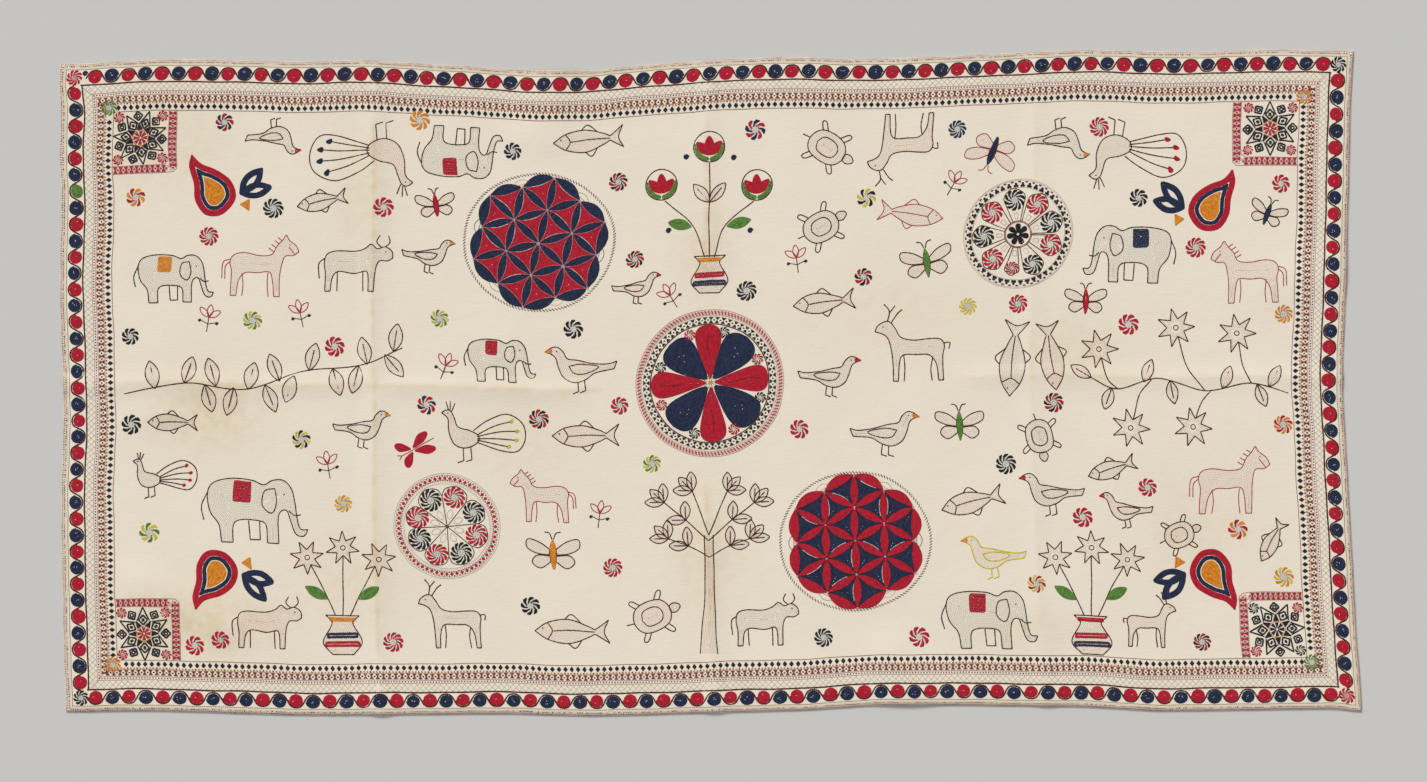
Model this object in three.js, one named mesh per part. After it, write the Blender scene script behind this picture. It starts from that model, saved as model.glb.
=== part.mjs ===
// A kantha quilt lying flat: layers of worn cotton run together with rows of stitches into one sheet.
// X runs along the quilt, Y across it and Z up from the surface it lies on. All sizes are millimetres.
// A place on the cloth is given by u and v, its X and Y before the edges were drawn in by the stitching.

import * as THREE from "three";

// Driving sizes
const LENGTH = 2240;
const WIDTH = 1146;
const THICKNESS = 2.4;
const HEM_THICKNESS = 1.7;
const FIELD_CELL = 50;
const PATCH_MARGIN = 6;
const HEM_WIDTH = 1;

// How far each wavy side is drawn in from the sheet's box. "at" is the place along the side from its middle.
const TOP_SIDE = [
  { at: -1120, inset: 25 },
  { at: -912, inset: 17 },
  { at: -706, inset: 21 },
  { at: -620, inset: 19 },
  { at: -448, inset: 27 },
  { at: -285, inset: 36.5 },
  { at: -224, inset: 36.5 },
  { at: -87, inset: 25 },
  { at: 60, inset: 16 },
  { at: 154, inset: 13 },
  { at: 240, inset: 16.5 },
  { at: 429, inset: 11 },
  { at: 670, inset: 1 },
  { at: 830, inset: 4.5 },
  { at: 980, inset: 0 },
  { at: 1120, inset: 2.5 },
];
const BOTTOM_SIDE = [
  { at: -1120, inset: 7 },
  { at: -998, inset: 8.5 },
  { at: -672, inset: 1 },
  { at: -362, inset: 3.5 },
  { at: -216, inset: 0 },
  { at: -18, inset: 5 },
  { at: 154, inset: 10 },
  { at: 326, inset: 19 },
  { at: 532, inset: 17 },
  { at: 636, inset: 15.5 },
  { at: 782, inset: 8.5 },
  { at: 1065, inset: 12 },
  { at: 1120, inset: 7.5 },
];
const LEFT_SIDE = [
  { at: -573, inset: 12 },
  { at: -460, inset: 8.5 },
  { at: -202, inset: 4 },
  { at: -47, inset: 8 },
  { at: 194, inset: 1.5 },
  { at: 331, inset: 4.5 },
  { at: 417, inset: 1.5 },
  { at: 486, inset: 3.5 },
  { at: 538, inset: 0 },
  { at: 573, inset: 2.5 },
];
const RIGHT_SIDE = [
  { at: -573, inset: 0 },
  { at: -442, inset: 8.5 },
  { at: -288, inset: 17 },
  { at: -116, inset: 26.5 },
  { at: 5, inset: 32.5 },
  { at: 142, inset: 27.5 },
  { at: 314, inset: 22.5 },
  { at: 486, inset: 18.5 },
  { at: 573, inset: 14 },
];

// Quilted border: the edges of its bands, measured in from the hem, and how high each line stands.
const BORDER_LINES = [
  { in: 0, rise: 0 },
  { in: 12, rise: 0.2 },
  { in: 24, rise: 1.1 },
  { in: 37, rise: 0.1 },
  { in: 46, rise: 0.7 },
  { in: 57, rise: 0.1 },
  { in: 72, rise: 0.8 },
  { in: 88, rise: 0 },
];
const BORDER = BORDER_LINES.at(-1).in;

// Soft creases where the sheet lifts off the surface: three folds across it, one along it in two
// stretches, and puckers beside the dense stitching. "reach" is half a crease's width.
const FOLDS = [
  { name: "first cross fold", from: [-575, -573], to: [-575, 573], height: 3.2, reach: 26 },
  { name: "middle fold, upper", from: [2, 573], to: [2, 165], height: 2.6, reach: 26 },
  { name: "middle fold, lower", from: [2, -573], to: [2, -165], height: 2.8, reach: 26 },
  { name: "last cross fold", from: [575, -573], to: [575, 573], height: 2, reach: 26 },
  { name: "long fold, left", from: [-1120, 4], to: [-180, 4], height: 3, reach: 26 },
  { name: "long fold, right", from: [430, 4], to: [1120, 4], height: 2.4, reach: 26 },
  { name: "corner crease", from: [-1034, -311], to: [-798, -457], height: 4, reach: 48 },
  { name: "left crease", from: [-1040, -70], to: [-900, -36], height: 2.4, reach: 34 },
  { name: "upper pucker", from: [-300, 400], to: [-255, 573], height: 4, reach: 70 },
  { name: "lower pucker", from: [290, -425], to: [335, -573], height: 4, reach: 70 },
  { name: "right pucker", from: [930, 150], to: [1120, 190], height: 3, reach: 60 },
];
const FOLD_FADE = 60;

// Dense stitching that stands up from the ground: a lotus, two lobed roundels and two wheels in the
// field, and a star in each corner square. "dip" is how far the outline draws in between its lobes.
const MEDALLIONS = [
  { name: "lotus", at: [12, 6], radius: 119, lobes: 8, dip: 0, petals: 8, turn: 0, rise: 1.2 },
  { name: "red roundel", at: [-288, 267], radius: 131, lobes: 12, dip: 0.07, petals: 6, turn: 17, rise: 1.4 },
  { name: "blue roundel", at: [258, -280], radius: 131, lobes: 12, dip: 0.07, petals: 6, turn: 15, rise: 1.4 },
  { name: "left wheel", at: [-450, -241], radius: 93, lobes: 8, dip: 0, petals: 8, turn: 22, rise: 0.9 },
  { name: "right wheel", at: [546, 255], radius: 96, lobes: 8, dip: 0, petals: 8, turn: 0, rise: 0.9 },
];
const CORNER_STAR = { in: 140, radius: 42, lobes: 8, dip: 0.28, petals: 8, turn: 0, rise: 1 };
const SPOKES_PER_LOBE = 4;

// Shares of a medallion's radius: its hub, its outer ring and the slope down to the ground cloth.
const HUB = 0.16;
const RING = 0.84;
const SLOPE = 0.95;
const RING_STOPS = [HUB, 0.42, 0.68, RING, SLOPE, 1];
const RING_RISE = 0.8;
const PETAL_VALLEY = 0.3;
const HAIR = 0.01;

for (const signX of [-1, 1]) {
  for (const signY of [-1, 1]) {
    const x = signX * (LENGTH / 2 - CORNER_STAR.in);
    const y = signY * (WIDTH / 2 - CORNER_STAR.in);
    MEDALLIONS.push({ ...CORNER_STAR, name: "corner star", at: [x, y] });
  }
}

// A smooth curve through a side's rows that never swings past them.
function insetAt(rows, at) {
  let i = 0;
  while (i < rows.length - 2 && at > rows[i + 1].at) {
    i += 1;
  }
  const secant = (k) => {
    const inside = k >= 0 && k < rows.length - 1;
    return inside ? (rows[k + 1].inset - rows[k].inset) / (rows[k + 1].at - rows[k].at) : 0;
  };
  const slope = (k) => {
    const before = secant(k - 1);
    const after = secant(k);
    return before * after > 0 ? (2 * before * after) / (before + after) : 0;
  };
  const span = rows[i + 1].at - rows[i].at;
  const t = THREE.MathUtils.clamp((at - rows[i].at) / span, 0, 1);
  const ease = t * t * (3 - 2 * t);
  const start = slope(i) * span * t * (1 - t) * (1 - t);
  const end = slope(i + 1) * span * t * t * (t - 1);
  return rows[i].inset + (rows[i + 1].inset - rows[i].inset) * ease + start + end;
}

// Where a place on the cloth lies once the sides are drawn in.
function drawnIn(u, v) {
  const left = -LENGTH / 2 + insetAt(LEFT_SIDE, v);
  const right = LENGTH / 2 - insetAt(RIGHT_SIDE, v);
  const low = -WIDTH / 2 + insetAt(BOTTOM_SIDE, u);
  const high = WIDTH / 2 - insetAt(TOP_SIDE, u);
  const x = THREE.MathUtils.lerp(left, right, u / LENGTH + 0.5);
  const y = THREE.MathUtils.lerp(low, high, v / WIDTH + 0.5);
  return [x, y];
}

function onHem(u, v) {
  return Math.abs(u) > LENGTH / 2 - HEM_WIDTH || Math.abs(v) > WIDTH / 2 - HEM_WIDTH;
}

// How far the cloth stands off the surface it lies on: zero except along the creases.
function lift(u, v) {
  let height = 0;
  for (const fold of FOLDS) {
    const alongX = fold.to[0] - fold.from[0];
    const alongY = fold.to[1] - fold.from[1];
    const length = Math.hypot(alongX, alongY);
    const along = ((u - fold.from[0]) * alongX + (v - fold.from[1]) * alongY) / length;
    const aside = ((u - fold.from[0]) * alongY - (v - fold.from[1]) * alongX) / length;
    const across = 1 - (aside / fold.reach) ** 2;
    if (across > 0) {
      const startFade = onHem(...fold.from) ? 1 : THREE.MathUtils.smoothstep(along, 0, FOLD_FADE);
      const endFade = onHem(...fold.to) ? 1 : THREE.MathUtils.smoothstep(length - along, 0, FOLD_FADE);
      height = Math.max(height, fold.height * across * across * startFade * endFade);
    }
  }
  return height;
}

function medallionReach(medallion, angle) {
  const phase = medallion.lobes * (angle - THREE.MathUtils.degToRad(medallion.turn));
  return medallion.radius * (1 - medallion.dip * (0.5 - 0.5 * Math.cos(phase)));
}

// Height of the stitching above the ground cloth: border bands by their lines, medallions by their petals.
function quilting(u, v) {
  const inward = Math.min(LENGTH / 2 - Math.abs(u), WIDTH / 2 - Math.abs(v));
  if (inward < BORDER) {
    const next = BORDER_LINES.findIndex((line) => line.in > inward);
    const outer = BORDER_LINES[next - 1];
    const inner = BORDER_LINES[next];
    return THREE.MathUtils.mapLinear(inward, outer.in, inner.in, outer.rise, inner.rise);
  }
  for (const medallion of MEDALLIONS) {
    const x = u - medallion.at[0];
    const y = v - medallion.at[1];
    const angle = Math.atan2(y, x);
    const share = Math.hypot(x, y) / medallionReach(medallion, angle);
    if (share < SLOPE + HAIR) {
      const phase = medallion.petals * (angle - THREE.MathUtils.degToRad(medallion.turn));
      const petal = THREE.MathUtils.lerp(PETAL_VALLEY, 1, 0.5 + 0.5 * Math.cos(phase));
      const inHubOrRing = share < HUB + HAIR || share > RING - HAIR;
      return medallion.rise * (inHubOrRing ? RING_RISE : petal);
    }
  }
  return 0;
}

// The solid is gathered as a list of points and the triangles between them.
const positions = [];
const triangles = [];

function addPoint(u, v, z) {
  const [x, y] = drawnIn(u, v);
  positions.push(x, y, z);
  return positions.length / 3 - 1;
}

function addTop(u, v) {
  const thickness = onHem(u, v) ? HEM_THICKNESS : THICKNESS + quilting(u, v);
  return addPoint(u, v, lift(u, v) + thickness);
}

function addUnder(u, v) {
  return addPoint(u, v, lift(u, v));
}

// Splits the stretches between fixed lines evenly into cells no wider than the field's.
function fieldLines(stops) {
  const lines = [stops[0]];
  for (let i = 1; i < stops.length; i += 1) {
    const gap = stops[i] - stops[i - 1];
    const cells = Math.ceil(gap / FIELD_CELL);
    for (let k = 1; k <= cells; k += 1) {
      lines.push(stops[i - 1] + (gap * k) / cells);
    }
  }
  return lines;
}

function withBorder(lines, half) {
  const outer = BORDER_LINES.slice(0, -1).map((line) => line.in - half);
  const mirrored = outer.map((line) => -line).reverse();
  return [...outer, ...lines, ...mirrored];
}

// Straight folds get a line along the crease and one along each foot of it.
function foldStops(axis) {
  const straight = FOLDS.filter((fold) => fold.from[axis] === fold.to[axis]);
  const stops = straight.flatMap((fold) => [-fold.reach, 0, fold.reach].map((d) => fold.from[axis] + d));
  return [...new Set(stops)].sort((a, b) => a - b);
}

const innerX = LENGTH / 2 - BORDER;
const innerY = WIDTH / 2 - BORDER;

// The field's lines run from border to border and stop at the folds and at both sides of the lotus.
function fieldStops(axis, inner) {
  const [lotus] = MEDALLIONS;
  const reach = lotus.radius + PATCH_MARGIN;
  const stops = [-inner, lotus.at[axis] - reach, ...foldStops(axis), lotus.at[axis] + reach, inner];
  return stops.sort((a, b) => a - b);
}

const underColumns = fieldLines(fieldStops(0, innerX));
const underRows = fieldLines(fieldStops(1, innerY));
const columns = withBorder(underColumns, LENGTH / 2);
const rows = withBorder(underRows, WIDTH / 2);

// Each medallion takes the place of a block of cells.
function blockAround(medallion) {
  const reach = medallion.radius + PATCH_MARGIN;
  const [x, y] = medallion.at;
  return {
    firstColumn: columns.findLastIndex((line) => line <= x - reach),
    lastColumn: columns.findIndex((line) => line >= x + reach),
    firstRow: rows.findLastIndex((line) => line <= y - reach),
    lastRow: rows.findIndex((line) => line >= y + reach),
  };
}

const blocks = MEDALLIONS.map(blockAround);

function cellInBlock(i, j) {
  const holds = (b) => i >= b.firstColumn && i < b.lastColumn && j >= b.firstRow && j < b.lastRow;
  return blocks.some(holds);
}

function pointInBlock(i, j) {
  const holds = (b) => i > b.firstColumn && i < b.lastColumn && j > b.firstRow && j < b.lastRow;
  return blocks.some(holds);
}

// Top face outside the medallions
const topPoints = columns.map((u, i) => rows.map((v, j) => (pointInBlock(i, j) ? -1 : addTop(u, v))));

function addQuad(a, b, c, d) {
  triangles.push(a, b, c, a, c, d);
}

for (let i = 0; i < columns.length - 1; i += 1) {
  for (let j = 0; j < rows.length - 1; j += 1) {
    if (!cellInBlock(i, j)) {
      addQuad(topPoints[i][j], topPoints[i + 1][j], topPoints[i + 1][j + 1], topPoints[i][j + 1]);
    }
  }
}

// A medallion is rings of points about its centre, zipped to the edge of its block.
function blockEdge(block) {
  const edge = [];
  for (let i = block.firstColumn; i < block.lastColumn; i += 1) {
    edge.push([i, block.firstRow]);
  }
  for (let j = block.firstRow; j < block.lastRow; j += 1) {
    edge.push([block.lastColumn, j]);
  }
  for (let i = block.lastColumn; i > block.firstColumn; i -= 1) {
    edge.push([i, block.lastRow]);
  }
  for (let j = block.lastRow; j > block.firstRow; j -= 1) {
    edge.push([block.firstColumn, j]);
  }
  return edge;
}

function turnFrom(start, angle) {
  return THREE.MathUtils.euclideanModulo(angle - start, 2 * Math.PI);
}

function zipLoops(inner, outer) {
  const begin = inner[0].angle;
  const outerFromBegin = outer
    .map((point) => ({ id: point.id, turn: turnFrom(begin, point.angle) }))
    .sort((a, b) => a.turn - b.turn);
  const innerFromBegin = inner.map((point) => ({ id: point.id, turn: turnFrom(begin, point.angle) }));
  const close = (loop) => [...loop, { id: loop[0].id, turn: loop[0].turn + 2 * Math.PI }];
  const inside = close(innerFromBegin);
  const outside = close(outerFromBegin);
  let i = 0;
  let j = 0;
  while (i < inside.length - 1 || j < outside.length - 1) {
    const insideLeft = i < inside.length - 1;
    const outsideLeft = j < outside.length - 1;
    const insideFirst = insideLeft && (!outsideLeft || inside[i + 1].turn < outside[j + 1].turn);
    if (insideFirst) {
      triangles.push(inside[i].id, outside[j].id, inside[i + 1].id);
      i += 1;
    } else {
      triangles.push(inside[i].id, outside[j].id, outside[j + 1].id);
      j += 1;
    }
  }
}

function addMedallion(medallion, block) {
  const [centreU, centreV] = medallion.at;
  const spokes = medallion.lobes * SPOKES_PER_LOBE;
  const start = THREE.MathUtils.degToRad(medallion.turn);
  const middle = addTop(centreU, centreV);
  let last = null;
  for (const stop of RING_STOPS) {
    const ring = [];
    for (let k = 0; k < spokes; k += 1) {
      const angle = start + (2 * Math.PI * k) / spokes;
      const radius = stop * medallionReach(medallion, angle);
      const u = centreU + radius * Math.cos(angle);
      const v = centreV + radius * Math.sin(angle);
      ring.push({ id: addTop(u, v), angle });
    }
    for (let k = 0; k < spokes; k += 1) {
      const next = (k + 1) % spokes;
      if (last) {
        addQuad(last[k].id, ring[k].id, ring[next].id, last[next].id);
      } else {
        triangles.push(middle, ring[k].id, ring[next].id);
      }
    }
    last = ring;
  }
  const edge = blockEdge(block).map(([i, j]) => {
    const angle = Math.atan2(rows[j] - centreV, columns[i] - centreU);
    return { id: topPoints[i][j], angle };
  });
  zipLoops(last, edge);
}

MEDALLIONS.forEach((medallion, k) => addMedallion(medallion, blocks[k]));

// Underside: the field's own lines, with the sheet's whole rim, and a fan in each corner square.
const lastColumn = columns.length - 1;
const lastRow = rows.length - 1;
const borderCells = BORDER_LINES.length - 1;
const rimPoints = new Map();

function underPoint(i, j) {
  const key = `${i} ${j}`;
  if (!rimPoints.has(key)) {
    rimPoints.set(key, addUnder(columns[i], rows[j]));
  }
  return rimPoints.get(key);
}

const keptColumns = [0, ...underColumns.map((_, k) => k + borderCells), lastColumn];
const keptRows = [0, ...underRows.map((_, k) => k + borderCells), lastRow];

for (let a = 0; a < keptColumns.length - 1; a += 1) {
  for (let b = 0; b < keptRows.length - 1; b += 1) {
    const [i0, i1] = [keptColumns[a], keptColumns[a + 1]];
    const [j0, j1] = [keptRows[b], keptRows[b + 1]];
    const inCorner = (a === 0 || a === keptColumns.length - 2) && (b === 0 || b === keptRows.length - 2);
    if (!inCorner) {
      addQuad(underPoint(i0, j0), underPoint(i0, j1), underPoint(i1, j1), underPoint(i1, j0));
    }
  }
}

function addCornerFan(cornerI, cornerJ) {
  const hubI = cornerI === 0 ? borderCells : lastColumn - borderCells;
  const hubJ = cornerJ === 0 ? borderCells : lastRow - borderCells;
  const hub = underPoint(hubI, hubJ);
  const stepI = Math.sign(cornerI - hubI);
  const stepJ = Math.sign(cornerJ - hubJ);
  const rim = [];
  for (let i = hubI; i !== cornerI; i += stepI) {
    rim.push(underPoint(i, cornerJ));
  }
  for (let j = cornerJ; j !== hubJ; j -= stepJ) {
    rim.push(underPoint(cornerI, j));
  }
  rim.push(underPoint(cornerI, hubJ));
  for (let k = 0; k < rim.length - 1; k += 1) {
    const clockwise = stepI * stepJ > 0;
    triangles.push(hub, clockwise ? rim[k] : rim[k + 1], clockwise ? rim[k + 1] : rim[k]);
  }
}

for (const cornerI of [0, lastColumn]) {
  for (const cornerJ of [0, lastRow]) {
    addCornerFan(cornerI, cornerJ);
  }
}

// The hem closes the top face to the underside all the way round.
function addHem(i0, j0, i1, j1) {
  addQuad(underPoint(i0, j0), underPoint(i1, j1), topPoints[i1][j1], topPoints[i0][j0]);
}

for (let i = 0; i < lastColumn; i += 1) {
  addHem(i, 0, i + 1, 0);
  addHem(i + 1, lastRow, i, lastRow);
}
for (let j = 0; j < lastRow; j += 1) {
  addHem(lastColumn, j, lastColumn, j + 1);
  addHem(0, j + 1, 0, j);
}

const geometry = new THREE.BufferGeometry();
geometry.setAttribute("position", new THREE.Float32BufferAttribute(positions, 3));
geometry.setIndex(triangles);
geometry.computeVertexNormals();

const cotton = new THREE.MeshStandardMaterial({ color: 0xe4dbc8, roughness: 0.95, metalness: 0 });
const quilt = new THREE.Mesh(geometry, cotton);
quilt.name = "quilt";

const part = new THREE.Group();
part.add(quilt);

export default part;
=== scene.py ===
# %% [markdown]
# # A kantha quilt, sewn in Blender
#
# A kantha is a coverlet made of old cotton cloths that are laid on each other and run together with rows
# of running stitch. The picture on it is sewn too: each line, petal and dot is a row of short stitches.
# The CAD model gives the quilt's size, its wavy outline and its soft folds. This script lays a thin sheet
# of cloth in that shape and then embroiders it with one Geometry Nodes tree that turns lines into stitches.

# %% Load the frame
import math
import random
from functools import partial

import bpy
import numpy as np
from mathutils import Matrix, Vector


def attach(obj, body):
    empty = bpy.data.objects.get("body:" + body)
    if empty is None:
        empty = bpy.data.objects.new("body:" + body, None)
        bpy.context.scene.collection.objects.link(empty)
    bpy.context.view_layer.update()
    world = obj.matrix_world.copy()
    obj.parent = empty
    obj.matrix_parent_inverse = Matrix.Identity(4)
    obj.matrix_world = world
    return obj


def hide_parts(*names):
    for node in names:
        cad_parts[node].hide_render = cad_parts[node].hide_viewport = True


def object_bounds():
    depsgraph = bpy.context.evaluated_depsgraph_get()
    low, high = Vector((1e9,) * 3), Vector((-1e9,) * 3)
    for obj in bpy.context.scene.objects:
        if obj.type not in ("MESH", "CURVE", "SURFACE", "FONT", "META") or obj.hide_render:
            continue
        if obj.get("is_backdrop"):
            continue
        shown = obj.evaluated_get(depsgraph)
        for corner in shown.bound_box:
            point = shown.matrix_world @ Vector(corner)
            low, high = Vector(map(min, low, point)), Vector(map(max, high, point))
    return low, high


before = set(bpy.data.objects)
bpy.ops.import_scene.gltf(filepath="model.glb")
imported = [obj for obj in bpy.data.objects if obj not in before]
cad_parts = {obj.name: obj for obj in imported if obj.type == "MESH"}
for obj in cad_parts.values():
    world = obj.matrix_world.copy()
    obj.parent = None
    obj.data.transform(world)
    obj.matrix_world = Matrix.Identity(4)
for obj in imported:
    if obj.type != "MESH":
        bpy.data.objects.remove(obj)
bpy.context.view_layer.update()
MM = 0.001

# %% [markdown]
# A textile is photographed from straight above. A long lens keeps its sides parallel, and the height of
# the camera follows from how much floor the picture takes in.

# %% Camera
scene = bpy.context.scene
PICTURE_WIDTH = 2454.4
PICTURE_MIDDLE = (5.2, -14.2)
LENS = 100.0
SENSOR = 36.0

camera_data = bpy.data.cameras.new("Camera")
camera_data.lens = LENS
camera_data.sensor_width = SENSOR
camera = bpy.data.objects.new("Camera", camera_data)
camera.location = (*[side * MM for side in PICTURE_MIDDLE], PICTURE_WIDTH * MM * LENS / SENSOR)
scene.collection.objects.link(camera)
scene.camera = camera
print("camera height in metres:", round(camera.location.z, 3))

# %% [markdown]
# Colours are picked as sRGB codes, but shaders work with linear light, so one function turns a code into
# the numbers that a shader's socket takes. Another adds a node, sets its own settings and fills its
# sockets with values or links, which keeps every node tree below short. A third starts an empty material.

# %% Helpers for shaders and node trees
def linear(code):
    """An sRGB colour such as "E4DCCA" as linear red, green, blue and alpha."""
    parts = [int(code[i : i + 2], 16) / 255 for i in (0, 2, 4)]
    return (*[p / 12.92 if p <= 0.04045 else ((p + 0.055) / 1.055) ** 2.4 for p in parts], 1.0)


def add(tree, kind, inputs=None, **settings):
    """Adds a node with its settings. Each input is a value, or another node's output to link."""
    made = tree.nodes.new(kind)
    for name, value in settings.items():
        setattr(made, name, value)
    for key, value in (inputs or {}).items():
        if isinstance(value, bpy.types.NodeSocket):
            tree.links.new(value, made.inputs[key])
        else:
            made.inputs[key].default_value = value
    return made


def new_material(name):
    material = bpy.data.materials.new(name)
    material.use_nodes = True
    material.node_tree.nodes.clear()
    return material, material.node_tree


print("mid grey in linear light:", [round(part, 3) for part in linear("808080")[:3]])

# %% [markdown]
# The floor is plain and pale. Half of the light comes evenly from all round and half from one large soft
# lamp that stands low at the upper left, so that folds and stitches throw faint shadows. The Standard view
# shows a colour as it was picked.

# %% Light and floor
FLOOR_HALF = 40.0
FLOOR_DROP = 0.6

scene.view_settings.view_transform = "Standard"
world = bpy.data.worlds.new("Studio")
world.use_nodes = True
world.node_tree.nodes["Background"].inputs["Color"].default_value = linear("FFFFFF")
world.node_tree.nodes["Background"].inputs["Strength"].default_value = 0.48
scene.world = world

lamp_data = bpy.data.lights.new("Soft lamp", "SUN")
lamp_data.energy = 2.5
lamp_data.angle = math.radians(24)
lamp_data.color = linear("FFF8EE")[:3]
lamp = bpy.data.objects.new("Soft lamp", lamp_data)
lamp.rotation_euler = (math.radians(-44), math.radians(-30), 0)
scene.collection.objects.link(lamp)

painted, tree = new_material("Painted floor")
shader = add(tree, "ShaderNodeBsdfPrincipled", {"Base Color": linear("C6C8C9"), "Roughness": 0.9})
add(tree, "ShaderNodeOutputMaterial", {"Surface": shader.outputs["BSDF"]})

floor_mesh = bpy.data.meshes.new("Floor")
floor_ways = [(-1, -1), (1, -1), (1, 1), (-1, 1)]
floor_corners = [(x * FLOOR_HALF, y * FLOOR_HALF, -FLOOR_DROP * MM) for x, y in floor_ways]
floor_mesh.from_pydata(floor_corners, [], [(0, 1, 2, 3)])
floor_mesh.materials.append(painted)
floor = bpy.data.objects.new("Floor", floor_mesh)
scene.collection.objects.link(floor)
floor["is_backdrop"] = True
print("floor:", 2 * FLOOR_HALF, "m wide,", FLOOR_DROP, "mm under the quilt")

# %% [markdown]
# The real quilt was cut square and then drawn in by its stitching, more in some places than in others, so
# each side is wavy. A place on the cloth is therefore named by u and v, its x and y before that happened,
# in millimetres from the middle. The four tables say how far each side moved in. They are the CAD
# model's tables, so the sheet keeps its outline.

# %% From a place on the cloth to a place in the room
LENGTH = 2240
WIDTH = 1146
HALF_U = LENGTH / 2
HALF_V = WIDTH / 2
CORRECTIONS = 5

TOP_SIDE = [(-1120, 25), (-912, 17), (-706, 21), (-620, 19), (-448, 27), (-285, 36.5), (-224, 36.5),
            (-87, 25), (60, 16), (154, 13), (240, 16.5), (429, 11), (670, 1), (830, 4.5), (980, 0),
            (1120, 2.5)]
BOTTOM_SIDE = [(-1120, 7), (-998, 8.5), (-672, 1), (-362, 3.5), (-216, 0), (-18, 5), (154, 10), (326, 19),
               (532, 17), (636, 15.5), (782, 8.5), (1065, 12), (1120, 7.5)]
LEFT_SIDE = [(-573, 12), (-460, 8.5), (-202, 4), (-47, 8), (194, 1.5), (331, 4.5), (417, 1.5), (486, 3.5),
             (538, 0), (573, 2.5)]
RIGHT_SIDE = [(-573, 0), (-442, 8.5), (-288, 17), (-116, 26.5), (5, 32.5), (142, 27.5), (314, 22.5),
              (486, 18.5), (573, 14)]


def inset_at(rows, at):
    """A smooth curve through a side's rows that never swings past them."""
    places, values = np.array(rows, float).T
    secants = np.diff(values) / np.diff(places)
    before, after = np.r_[0, secants], np.r_[secants, 0]
    same_way = before * after > 0
    slopes = np.where(same_way, 2 * before * after / np.where(same_way, before + after, 1), 0)
    i = np.clip(np.searchsorted(places, at) - 1, 0, len(places) - 2)
    span = places[i + 1] - places[i]
    t = np.clip((at - places[i]) / span, 0, 1)
    ease = t * t * (3 - 2 * t)
    ends = slopes[i] * span * t * (1 - t) ** 2 + slopes[i + 1] * span * t * t * (t - 1)
    return values[i] + (values[i + 1] - values[i]) * ease + ends


def drawn_in(u, v):
    left, right = -HALF_U + inset_at(LEFT_SIDE, v), HALF_U - inset_at(RIGHT_SIDE, v)
    low, high = -HALF_V + inset_at(BOTTOM_SIDE, u), HALF_V - inset_at(TOP_SIDE, u)
    return left + (right - left) * (u / LENGTH + 0.5), low + (high - low) * (v / WIDTH + 0.5)


def cloth_place(x, y):
    """The u and v of a spot that was measured in the room, found by a few rounds of correction."""
    u, v = x, y
    for _ in range(CORRECTIONS):
        now_x, now_y = drawn_in(u, v)
        u, v = u + x - now_x, v + y - now_y
    return np.array([float(u), float(v)])


print("the quilt's middle lies at", [round(float(c), 1) for c in drawn_in(0, 0)], "mm")

# %% [markdown]
# Stored folded, the quilt kept three creases across it and one along it. Near the dense stitching it
# puckers. Each of these is a soft ridge, highest on a line and gone at its reach. A cloth simulation could
# make such folds, but here each has to lie in its known place.

# %% Folds
FOLD_FADE = 60
FOLDS = [
    # from, to, height, reach, and which ends fade out
    ((-575, -573), (-575, 573), 3.2, 26, (False, False)),
    ((2, 573), (2, 165), 2.6, 26, (False, True)),
    ((2, -573), (2, -165), 2.8, 26, (False, True)),
    ((575, -573), (575, 573), 2.0, 26, (False, False)),
    ((-1120, 4), (-180, 4), 3.0, 26, (False, True)),
    ((430, 4), (1120, 4), 2.4, 26, (True, False)),
    ((-1034, -311), (-798, -457), 4.0, 48, (True, True)),
    ((-1040, -70), (-900, -36), 2.4, 34, (True, True)),
    ((-300, 400), (-255, 573), 4.0, 70, (True, False)),
    ((290, -425), (335, -573), 4.0, 70, (True, False)),
    ((930, 150), (1120, 190), 3.0, 60, (True, False)),
]


def ease(value, low, high):
    t = np.clip((value - low) / (high - low), 0, 1)
    return t * t * (3 - 2 * t)


def lift(u, v):
    """How far the cloth stands off the floor."""
    height = np.zeros_like(u)
    for start, end, top, reach, fades in FOLDS:
        way = np.subtract(end, start)
        length = np.hypot(*way)
        along = ((u - start[0]) * way[0] + (v - start[1]) * way[1]) / length
        aside = ((u - start[0]) * way[1] - (v - start[1]) * way[0]) / length
        ridge = top * np.clip(1 - (aside / reach) ** 2, 0, None) ** 2
        if fades[0]:
            ridge = ridge * ease(along, 0, FOLD_FADE)
        if fades[1]:
            ridge = ridge * ease(length - along, 0, FOLD_FADE)
        height = np.maximum(height, ridge)
    return height


print("highest fold:", round(max(fold[2] for fold in FOLDS), 1), "mm over the floor")

# %% [markdown]
# Border bands and medallions stand up a little as well, because thread is thick. A medallion's rise swells
# with its petals and slopes down at its rim. The cloth is thinner at the hem, where its layers end.

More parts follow.
